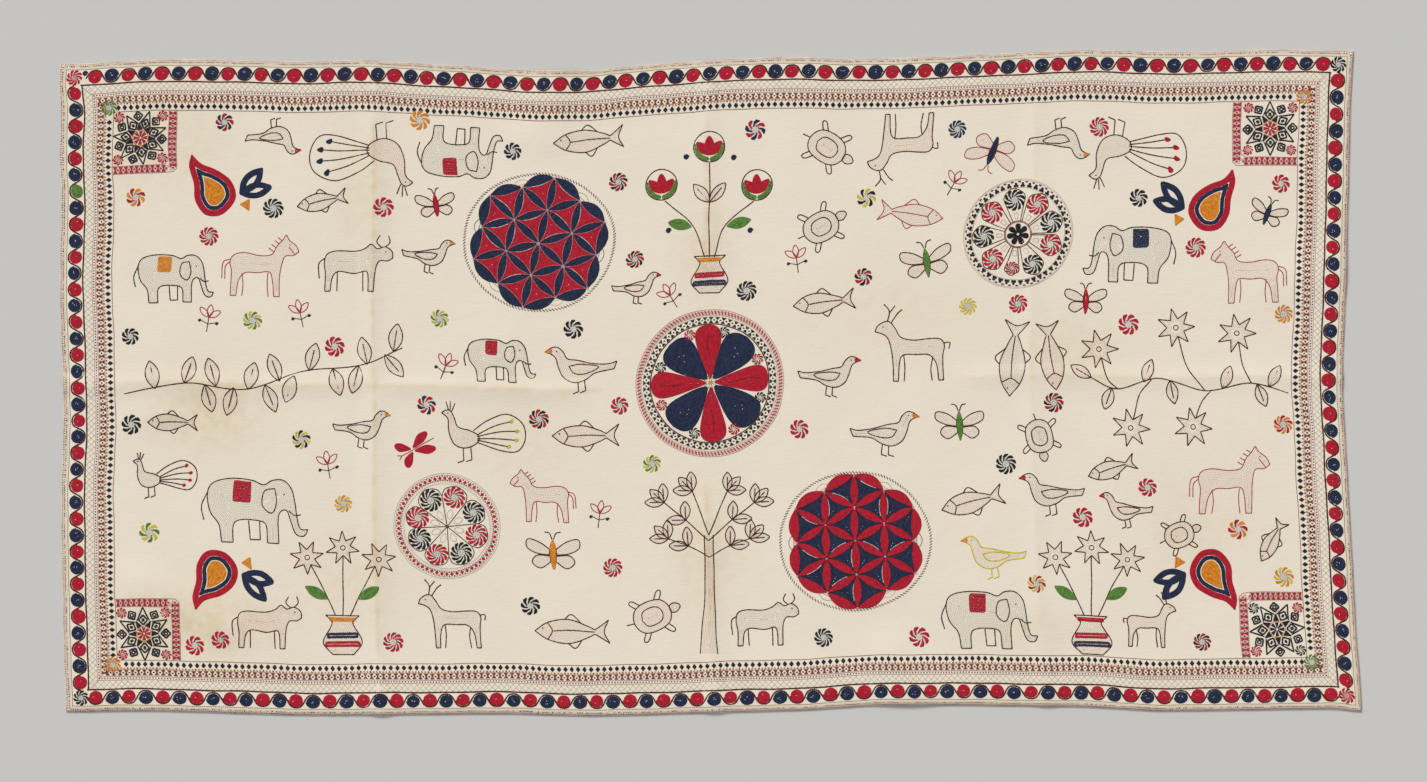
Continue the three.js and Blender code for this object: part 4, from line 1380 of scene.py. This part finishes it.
def star_flower(path, x, y, radius):
    """A stalk along path, and a star with one notch on the stalk's end."""
    angle = math.degrees(math.atan2(path[-1][1] - y, path[-1][0] - x))
    stem([*path, polar(np.array([x, y]), radius * STAR_NOTCH, angle)])
    at = cloth_place(x, y)
    corners = [polar(at, radius * (1 if k % 2 else STAR_NOTCH), angle + 180 * k / STAR_POINTS)
               for k in range(2 * STAR_POINTS)]
    seeds(PINK, draw(BROWN, sharp(corners), closed=True))
    stitch(BROWN, arc(at, 4.5), 0.8)


def sprig(x, y, turn):
    """Three leaves and two berries on a stalk."""
    at = cloth_place(x, y)
    stitch(BROWN, [polar(at, 26, turn + 180), at], 0.8)
    for lean in (-50, 0, 50):
        draw(REDS, leaf_between(at, polar(at, 24, turn + lean), 5, 5))
    for lean in (-120, 120):
        stitch(BROWN, [polar(at, 12, turn + 180), polar(at, 15, turn + lean)], 0.7)
        disc(BLUE, polar(at, 17, turn + lean), 3.6)


print("a star flower has", STAR_POINTS, "points")

# %% [markdown]
# A vine of leaves runs near the long fold on the left, and a bough of star flowers near it on the right.
# Loose sprigs fill gaps between the animals.

# %% Vine, bough and sprigs
VINE = [(-1008, -20), (-900, 0), (-800, -12), (-700, 20), (-600, 30), (-530, 60)]
# x, y and turn of each leaf and sprig
VINE_LEAVES = [
    (-955, -10, 100), (-905, 0, 70), (-850, -5, 105), (-795, -12, 75), (-740, 3, 110), (-690, 21, 75),
    (-590, 31, 100), (-545, 54, 80), (-870, -3, -75), (-820, -9, -105), (-765, -4, -70), (-715, 12, -110),
    (-650, 25, -75), (-605, 29, -105), (-560, 48, -50),
]
BOUGH = [(994, -18), (930, 0), (850, -14), (770, 8), (700, -10), (650, 10)]
BOUGH_LEAVES = [(960, -6, 60), (940, -2, -70), (880, -10, 70), (790, 4, -80), (745, 2, 70), (690, -8, -110),
                (655, 8, 150)]
SPRIGS = [(148, 215, 100), (-455, 30, 70), (-70, 150, 120), (420, 345, 60), (-862, 112, 80), (-706, 120, 100),
          (-190, -225, 80), (-658, -140, 100)]
# stalk and flower of each star on the bough
BOUGH_STARS = [
    ([(930, 0), (915, 30)], (905, 85)), ([(850, -14), (820, 25)], (800, 95)),
    ([(700, -10), (682, 8)], (668, 58)), ([(862, -12), (845, -32)], (830, -76)),
    ([(758, 6), (738, -20)], (722, -78)),
]

stem(VINE)
for x, y, turn in VINE_LEAVES:
    leaf(x, y, length=50, wide=24, turn=turn)
stem(BOUGH)
for path, flower in BOUGH_STARS:
    star_flower(path, *flower, radius=34)
for x, y, turn in BOUGH_LEAVES:
    leaf(x, y, length=42, wide=20, turn=turn)
for x, y, turn in SPRIGS:
    sprig(x, y, turn)
print(len(VINE_LEAVES), "leaves on the vine,", len(BOUGH_STARS), "stars on the bough,", len(SPRIGS), "sprigs")

# %% [markdown]
# The leafy tree has a trunk that narrows upward and three branches on each side. The branches are charted
# for one side and mirrored.

# %% Leafy tree
TREE_X = -2
BRANCHES = [[(0, -300), (36, -280), (70, -268)], [(0, -272), (40, -236), (78, -206)], [(0, -262), (30, -186)]]
LEAF_LEAN = 42


def trunk(x, low, high, wide):
    """Two sides that run in towards each other, with seeds between them."""
    side = [(1, low), (0.55, (low + high) / 2), (0.5, high)]
    left = [cloth_place(x - wide * share, y) for share, y in side]
    right = [cloth_place(x + wide * share, y) for share, y in side[::-1]]
    draw(BROWN, left)
    draw(BROWN, right)
    seeds(PINK, np.vstack([flow(left, False), flow(right, False), left[:1]]))


trunk(TREE_X, low=-466, high=-262, wide=15)
for way in (-1, 1):
    turn = 90 - 45 * way
    for *points, (x, y) in BRANCHES:
        stem([(way * a + TREE_X, b) for a, b in [*points, (x, y)]])
        for a, b in points[1:]:
            for lean in (-LEAF_LEAN, LEAF_LEAN):
                leaf(way * a + TREE_X, b, length=34, wide=17, turn=turn + lean)
        for lean in (-LEAF_LEAN, 0, LEAF_LEAN):
            leaf(way * x + TREE_X, y, length=34, wide=17, turn=turn + lean)
print("tree with", 2 * len(BRANCHES), "branches")

# %% [markdown]
# Three bellied pots stand on the field, in bands of solid colour. One holds lotus buds and two hold star
# flowers.

# %% Pots of flowers
UP = 90
POT = chart([[-0.5, -1], [0.5, -1], (0.95, -0.4), (0.6, 0.3), (0.5, 0.6), [0.8, 0.9], [-0.8, 0.9],
             (-0.5, 0.6), (-0.6, 0.3), (-0.95, -0.4)])
# low edge, high edge and half width of each band
POT_BANDS = [(-0.62, -0.36, 0.86), (-0.2, 0.06, 0.76), (0.62, 0.8, 0.62)]
# stem and middle of each lotus bud
LOTUS_BUDS = [
    ([(-10, 216), (-30, 270), (-78, 312)], (-84, 340)), ([(6, 216), (26, 270), (74, 312)], (80, 340)),
    ([(-2, 216), (-2, 300), (-2, 378)], (-2, 406)),
]
BUD_LEAVES = [(-32, 268, 165, GREEN), (28, 268, 15, GREEN), (-2, 310, 130, None), (-2, 310, 50, None)]
BERRIES = [(-72, 262), (68, 262), (-42, 388), (40, 388)]
STAR_POTS = [(-632, (RED, BLUE, ORANGE)), (655, (BLUE, RED, RED))]


def pot(x, y, size, colours):
    at = cloth_place(x, y)
    seeds(PINK, draw(BROWN, put(POT, at, size), closed=True))
    for (low, high, wide), colour in zip(POT_BANDS, colours):
        band = [(-wide, low), (wide, low), (wide, high), (-wide, high), (-wide, low)]
        fill(colour, put(band, at, size))


def lotus_bud(x, y):
    """Three red petals in a ring, with a green leaf on either side."""
    at = cloth_place(x, y)
    stitch(BROWN, arc(at, 27))
    foot = polar(at, 15, UP + 180)
    for lean, length in ((-42, 33), (42, 33), (0, 36)):
        fill(RED, leaf_between(foot, polar(foot, length, UP + lean), 8, 8))
    for way in (-1, 1):
        outer = arc(at, 25.5, UP + way * 75, UP + way * 178)
        inner = arc(at, 18.5, UP + way * 178, UP + way * 90)
        fill(GREEN, np.vstack([outer, inner, outer[:1]]))


pot(-2, 188, size=34, colours=(BLUE, RED, ORANGE))
for path, bud in LOTUS_BUDS:
    stem(path)
    lotus_bud(*bud)
for x, y, turn, solid in BUD_LEAVES:
    leaf(x, y, length=44, wide=19, turn=turn, solid=solid)
for x, y in BERRIES:
    disc(BLUE, cloth_place(x, y), radius=5.5)
for x, colours in STAR_POTS:
    pot(x, -432, size=36, colours=colours)
    for dx, high in ((-62, -300), (0, -284), (62, -304)):
        star_flower([(x + dx * 0.2, -400), (x + dx * 0.5, -360)], x + dx, high, radius=30)
    for dx, way in ((-26, 150), (26, 30)):
        leaf(x + dx, -372, length=44, wide=18, turn=way, solid=GREEN)
print(1 + len(STAR_POTS), "pots")

# %% [markdown]
# A paisley lies beside each corner, filled from its outline inwards in red, blue and orange, with two slim
# leaves and a bud at its foot.

# %% Paisleys
PAISLEY = chart([(0.1, -0.95), (0.6, -0.62), (0.66, -0.1), (0.36, 0.36), (0, 0.66), [-0.16, 1.02],
                 (-0.36, 0.7), (-0.42, 0.2), (-0.56, -0.3), (-0.4, -0.8)])
PAISLEY_SIZE = 58
SPRAY_SIZE = 62
SPRAY_FOOT = (0.72, -0.5)
PAISLEYS = [(-862, 340, 20, False), (868, 314, -20, True), (-858, -340, 160, True), (870, -340, 200, False)]


def paisley_spray(x, y, turn, flip):
    at = cloth_place(x, y)
    outline = np.vstack(curves(put(PAISLEY, at, PAISLEY_SIZE, turn, flip), closed=True))
    fill(RED, outline, last=9)
    fill(BLUE, outline, first=12, last=17)
    fill(ORANGE, outline, first=20)
    for lean, length in ((28, 64), (-6, 60)):
        way = np.array([math.cos(math.radians(lean)), math.sin(math.radians(lean))])
        foot, tip = put([SPRAY_FOOT, SPRAY_FOOT + way * length / SPRAY_SIZE], at, SPRAY_SIZE, turn, flip)
        fill(BLUE, leaf_between(foot, tip, 14, 14), last=9)
    bud = put([(0.62, -0.78), (0.95, -0.72), (0.8, -1.05)], at, SPRAY_SIZE, turn, flip)
    fill(ORANGE, np.vstack([bud, bud[:1]]))


for row in PAISLEYS:
    paisley_spray(*row)
print("lines to sew:", {thread: len(lines) for thread, lines in sorted(sewing.items())})

# %% [markdown]
# One small mesh stands for a stitch: a length of thread seen from above, highest along its middle and
# pointed at both ends, where it goes down through the cloth. Two faces are enough, since there are over a
# hundred thousand stitches. Its map runs along the thread and across it.

# %% The form of a stitch
stitch_points = [(-1, 0, 0.7), (-0.8, -1, 0), (0.8, -1, 0), (1, 0, 0.7), (0.8, 1, 0), (-0.8, 1, 0)]
stitch_faces = [(0, 1, 2, 3), (3, 4, 5, 0)]
form_mesh = bpy.data.meshes.new("Stitch")
form_mesh.from_pydata([(x, y, z - 0.25) for x, y, z in stitch_points], [], stitch_faces)
form_mesh.shade_smooth()
form_map = form_mesh.uv_layers.new(name="form")
for loop in form_mesh.loops:
    x, y, _ = stitch_points[loop.vertex_index]
    form_map.data[loop.index].uv = (0.5 + 0.48 * x, 0.5 + 0.48 * y)
stitch_form = bpy.data.objects.new("Stitch", form_mesh)
scene.collection.objects.link(stitch_form)
print(len(form_mesh.polygons), "faces in a stitch")

# %% [markdown]
# A Geometry Nodes tree does the sewing. Its inputs are the lines, the form of a stitch, the thread's
# material and the thread's measures.

# %% Inputs of the tree that sews
SEW_INPUTS = {
    "Rows": "Geometry", "Stitch": "Object", "Thread": "Material", "Stitch Length": "Float", "Gap": "Float",
    "Thread Width": "Float", "Thread Height": "Float", "Unevenness": "Float", "Seed": "Int",
}
sew = bpy.data.node_groups.new("Sew rows of stitches", "GeometryNodeTree")
for name, kind in SEW_INPUTS.items():
    sew.interface.new_socket(name, in_out="INPUT", socket_type="NodeSocket" + kind)
sew.interface.new_socket("Sewn", in_out="OUTPUT", socket_type="NodeSocketGeometry")
sockets = {item.name: item.identifier for item in sew.interface.items_tree if item.in_out == "INPUT"}
given = add(sew, "NodeGroupInput").outputs
print(len(sockets), "inputs")

# %% [markdown]
# Mesh to Curve and Resample Curve give points a stitch apart. A line shorter than a stitch becomes one
# stitch, so the step is never more than just under the line's length. Every edge between two points is one
# stitch, and Capture Attribute keeps its way and its width when the edge becomes a point.

# %% Cut the lines into stitches
lines = add(sew, "GeometryNodeMeshToCurve", {"Mesh": given["Rows"]})
line_length = add(sew, "GeometryNodeSplineLength").outputs["Length"]
span = add(sew, "ShaderNodeMath", {0: line_length, 1: 0.999}, operation="MULTIPLY")
own_length = add(sew, "GeometryNodeInputNamedAttribute", {"Name": "length"}, data_type="FLOAT")
wanted = add(sew, "ShaderNodeMath", {0: own_length.outputs[0], 1: given["Stitch Length"]},
             operation="MULTIPLY")
step = add(sew, "ShaderNodeMath", {0: span.outputs[0], 1: wanted.outputs[0]}, operation="MINIMUM")
cut = add(sew, "GeometryNodeResampleCurve", {"Curve": lines.outputs[0], "Length": step.outputs[0]},
          mode="LENGTH")
edges = add(sew, "GeometryNodeCurveToMesh", {"Curve": cut.outputs[0]})
ends = add(sew, "GeometryNodeInputMeshEdgeVertices").outputs
way = add(sew, "ShaderNodeVectorMath", {0: ends["Position 2"], 1: ends["Position 1"]}, operation="SUBTRACT")
kept = add(sew, "GeometryNodeCaptureAttribute", {0: edges.outputs[0]}, domain="EDGE")
kept.capture_items.new("VECTOR", "Way")
kept.capture_items.new("FLOAT", "Width")
own_width = add(sew, "GeometryNodeInputNamedAttribute", {"Name": "width"}, data_type="FLOAT")
sew.links.new(way.outputs[0], kept.inputs["Way"])
sew.links.new(own_width.outputs[0], kept.inputs["Width"])
middles = add(sew, "GeometryNodeMeshToPoints", {"Mesh": kept.outputs[0]}, mode="EDGES")
print(len(sew.nodes), "nodes so far")

# %% [markdown]
# Each point then takes one instance of the form, turned along its edge in the plane and in slope. It is
# scaled to the edge's length less the gap, and to the thread's width, a little unevenly.

# %% Set a stitch on each edge
flat = add(sew, "FunctionNodeAlignRotationToVector", {"Vector": kept.outputs["Way"]},
           axis="X", pivot_axis="Z")
sloped = add(sew, "FunctionNodeAlignRotationToVector",
             {"Rotation": flat.outputs[0], "Vector": kept.outputs["Way"]}, axis="X", pivot_axis="Y")
long = add(sew, "ShaderNodeVectorMath", {0: kept.outputs["Way"]}, operation="LENGTH")
share = add(sew, "ShaderNodeMath", {0: 1.0, 1: given["Gap"]}, operation="SUBTRACT")
covered = add(sew, "ShaderNodeMath", {0: long.outputs["Value"], 1: share.outputs[0]}, operation="MULTIPLY")
less = add(sew, "ShaderNodeMath", {0: 1.0, 1: given["Unevenness"]}, operation="SUBTRACT")
more = add(sew, "ShaderNodeMath", {0: 1.0, 1: given["Unevenness"]}, operation="ADD")
uneven = add(sew, "FunctionNodeRandomValue",
             {2: less.outputs[0], 3: more.outputs[0], "Seed": given["Seed"]}, data_type="FLOAT")
even = add(sew, "ShaderNodeMath", {0: given["Thread Width"], 1: kept.outputs["Width"]}, operation="MULTIPLY")
wide = add(sew, "ShaderNodeMath", {0: even.outputs[0], 1: uneven.outputs[1]}, operation="MULTIPLY")
size = add(sew, "ShaderNodeCombineXYZ",
           {0: covered.outputs[0], 1: wide.outputs[0], 2: given["Thread Height"]})
halved = add(sew, "ShaderNodeVectorMath", {0: size.outputs[0], 1: (0.5, 0.5, 1.0)}, operation="MULTIPLY")
form = add(sew, "GeometryNodeObjectInfo", {"Object": given["Stitch"]})
placed = add(sew, "GeometryNodeInstanceOnPoints",
             {"Points": middles.outputs[0], "Instance": form.outputs["Geometry"],
              "Rotation": sloped.outputs[0], "Scale": halved.outputs[0]})
print(len(sew.nodes), "nodes so far")

# %% [markdown]
# Each stitch draws a random tone. It is written into the map "OFBake" together with the form's own map,
# so that the shader can give every stitch its own shade: along the thread runs the first number, and the
# second is the tone with a narrow strip across the thread. Realize Instances makes it all a plain mesh.

# %% Give each stitch a tone
tone = add(sew, "FunctionNodeRandomValue", {2: 0.0, 3: 1.0, "Seed": given["Seed"]}, data_type="FLOAT")
toned = add(sew, "GeometryNodeStoreNamedAttribute",
            {"Geometry": placed.outputs[0], "Name": "tone", "Value": tone.outputs[1]},
            data_type="FLOAT", domain="INSTANCE")
solid = add(sew, "GeometryNodeRealizeInstances", {"Geometry": toned.outputs[0]})
own_map = add(sew, "GeometryNodeInputNamedAttribute", {"Name": "form"}, data_type="FLOAT_VECTOR")
own_tone = add(sew, "GeometryNodeInputNamedAttribute", {"Name": "tone"}, data_type="FLOAT")
across = add(sew, "ShaderNodeSeparateXYZ", {0: own_map.outputs[0]})
narrow = add(sew, "ShaderNodeMath", {0: across.outputs["Y"], 1: 0.04}, operation="MULTIPLY")
strip = add(sew, "ShaderNodeMath", {0: own_tone.outputs[0], 1: 0.94, 2: narrow.outputs[0]},
            operation="MULTIPLY_ADD")
spot = add(sew, "ShaderNodeCombineXYZ", {0: across.outputs["X"], 1: strip.outputs[0]})
mapped = add(sew, "GeometryNodeStoreNamedAttribute",
             {"Geometry": solid.outputs[0], "Name": "OFBake", "Value": spot.outputs[0]},
             data_type="FLOAT2", domain="CORNER")
coloured = add(sew, "GeometryNodeSetMaterial", {"Geometry": mapped.outputs[0], "Material": given["Thread"]})
add(sew, "NodeGroupOutput", {0: coloured.outputs[0]})
print(len(sew.nodes), "nodes in all")

# %% [markdown]
# Embroidery cotton is matt and a little faded, and each stitch took the dye differently. The thread's
# shader reads the map: the second number picks a tone between dark and light. The end where the map
# starts, where the thread dips into the cloth, gets painted shade: its colour is mixed halfway to the dark
# tone.

# %% Threads
THREADS = {
    # slot, dark and light tone, stitch length, gap, width, height
    "red_fill": ("red_thread", "98142A", "B81F33", 4.6, -0.12, 3.0, 1.0),
    "red_line": ("red_thread", "8C2631", "AE3741", 3.4, -0.1, 1.6, 0.8),
    "mauve_line": ("red_thread", "AE747C", "C99A9A", 3.6, -0.1, 1.4, 0.7),
    "blue_fill": ("blue_thread", "182038", "283350", 4.6, -0.12, 3.0, 1.0),
    "black_fill": ("black_thread", "101218", "22252D", 4.6, -0.12, 2.8, 1.0),
    "black_line": ("black_thread", "1C1719", "3A3032", 3.3, -0.06, 2.0, 0.8),
    "black_row": ("black_thread", "15151B", "302E36", 3.6, -0.1, 1.4, 0.7),
    "brown_line": ("brown_thread", "301413", "562523", 3.3, -0.06, 2.0, 0.8),
    "brown_row": ("brown_thread", "61291B", "8E4A32", 3.6, -0.05, 1.4, 0.6),
    "orange_fill": ("bright_thread", "C06A18", "DB9430", 4.6, -0.1, 2.6, 0.9),
    "yellow_fill": ("bright_thread", "B5A31E", "D6C84A", 4.6, -0.1, 2.2, 0.9),
    "green_fill": ("bright_thread", "3F6B2C", "638C42", 4.6, -0.1, 2.6, 0.9),
    "olive_row": ("bright_thread", "776A38", "9A8C54", 3.6, 0.2, 1.4, 0.7),
    "grey_line": ("pale_thread", "A39C8C", "C2BBAA", 3.6, 0.0, 0.9, 0.4),
    # pale thread for whirl middles, and for the painted highlights on discs, blue petals and roundel slits
    "silver_line": ("pale_thread", "A6A7A6", "CDCFCD", 3.6, 0.0, 1.2, 0.6),
    "beige_row": ("pale_thread", "B08F7B", "D0B6A2", 3.4, 0.25, 1.4, 0.6),
    "pink_seed": ("pale_thread", "C79F96", "DABFB5", 2.6, -0.1, 1.0, 0.6),
    "grey_seed": ("pale_thread", "9C9E97", "BDBEB3", 2.6, -0.1, 1.0, 0.6),
}


def thread_material(name, dark, light):
    material, tree = new_material(name.replace("_", " ").capitalize() + " cotton")
    spot = add(tree, "ShaderNodeSeparateXYZ", {0: add(tree, "ShaderNodeUVMap", uv_map="OFBake").outputs[0]})
    toned = add(tree, "ShaderNodeMix",
                {"Factor": spot.outputs["Y"], 6: linear(dark), 7: linear(light)}, data_type="RGBA")
    # painted shade: the colour darkens towards the thread's end, where it dips into the cloth
    painted_end_shade = add(tree, "ShaderNodeMapRange",
                   {"Value": spot.outputs["X"], "From Min": 0.0, "From Max": 0.25,
                    "To Min": 0.5, "To Max": 1.0})
    colour_with_end_shade = add(tree, "ShaderNodeMix",
                 {"Factor": painted_end_shade.outputs[0], 6: linear(dark), 7: toned.outputs[2]}, data_type="RGBA")
    shader = add(tree, "ShaderNodeBsdfPrincipled",
                 {"Base Color": colour_with_end_shade.outputs[2], "Roughness": 0.8, "Specular IOR Level": 0.2})
    add(tree, "ShaderNodeOutputMaterial", {"Surface": shader.outputs["BSDF"]})
    return material


print(len(THREADS), "threads")

# %% [markdown]
# Each thread becomes one piece. Its lines go into a mesh of edges, the tree sews them, and the result is
# kept as a plain mesh, so that nothing is left to evaluate later.

# %% Sew each thread
UNEVENNESS = 0.16


def rows_mesh(name, lines):
    sizes = np.array([len(points) for points, *_ in lines])
    last = np.cumsum(sizes) - 1
    first = np.setdiff1d(np.arange(sizes.sum()), last)
    over = np.repeat([line[3] for line in lines], sizes)
    places = on_cloth(np.vstack([line[0] for line in lines]), over)
    mesh = bpy.data.meshes.new(name)
    mesh.from_pydata(places.tolist(), np.column_stack([first, first + 1]).tolist(), [])
    for kind, values in (("width", np.concatenate([line[1] for line in lines])),
                         ("length", np.repeat([line[2] for line in lines], sizes))):
        mesh.attributes.new(kind, "FLOAT", "POINT").data.foreach_set("value", values.astype(np.float32))
    return mesh


for seed, (name, (slot, dark, light, length, gap, width, height)) in enumerate(THREADS.items()):
    piece = bpy.data.objects.new(name, rows_mesh(name + "_rows", sewing[name]))
    scene.collection.objects.link(piece)
    modifier = piece.modifiers.new("Sew", "NODES")
    modifier.node_group = sew
    values = {
        "Stitch": stitch_form, "Thread": thread_material(name, dark, light), "Stitch Length": length * MM,
        "Gap": gap, "Thread Width": width * MM, "Thread Height": height * MM, "Unevenness": UNEVENNESS,
        "Seed": seed,
    }
    for socket, value in values.items():
        modifier[sockets[socket]] = value
    evaluated = piece.evaluated_get(bpy.context.evaluated_depsgraph_get())
    sewn = bpy.data.meshes.new_from_object(evaluated)
    piece.modifiers.remove(modifier)
    piece.data = sewn
    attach(piece, "root")
    triangles = sum(len(face.vertices) - 2 for face in sewn.polygons)
    print(name, len(sewn.polygons) // 2, "stitches,", triangles, "triangles")
bpy.data.objects.remove(stitch_form)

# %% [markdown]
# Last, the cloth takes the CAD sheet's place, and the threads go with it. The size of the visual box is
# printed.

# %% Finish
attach(quilt, "root")
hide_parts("quilt")
low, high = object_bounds()
print("visual box in metres:", [round(side, 4) for side in high - low])
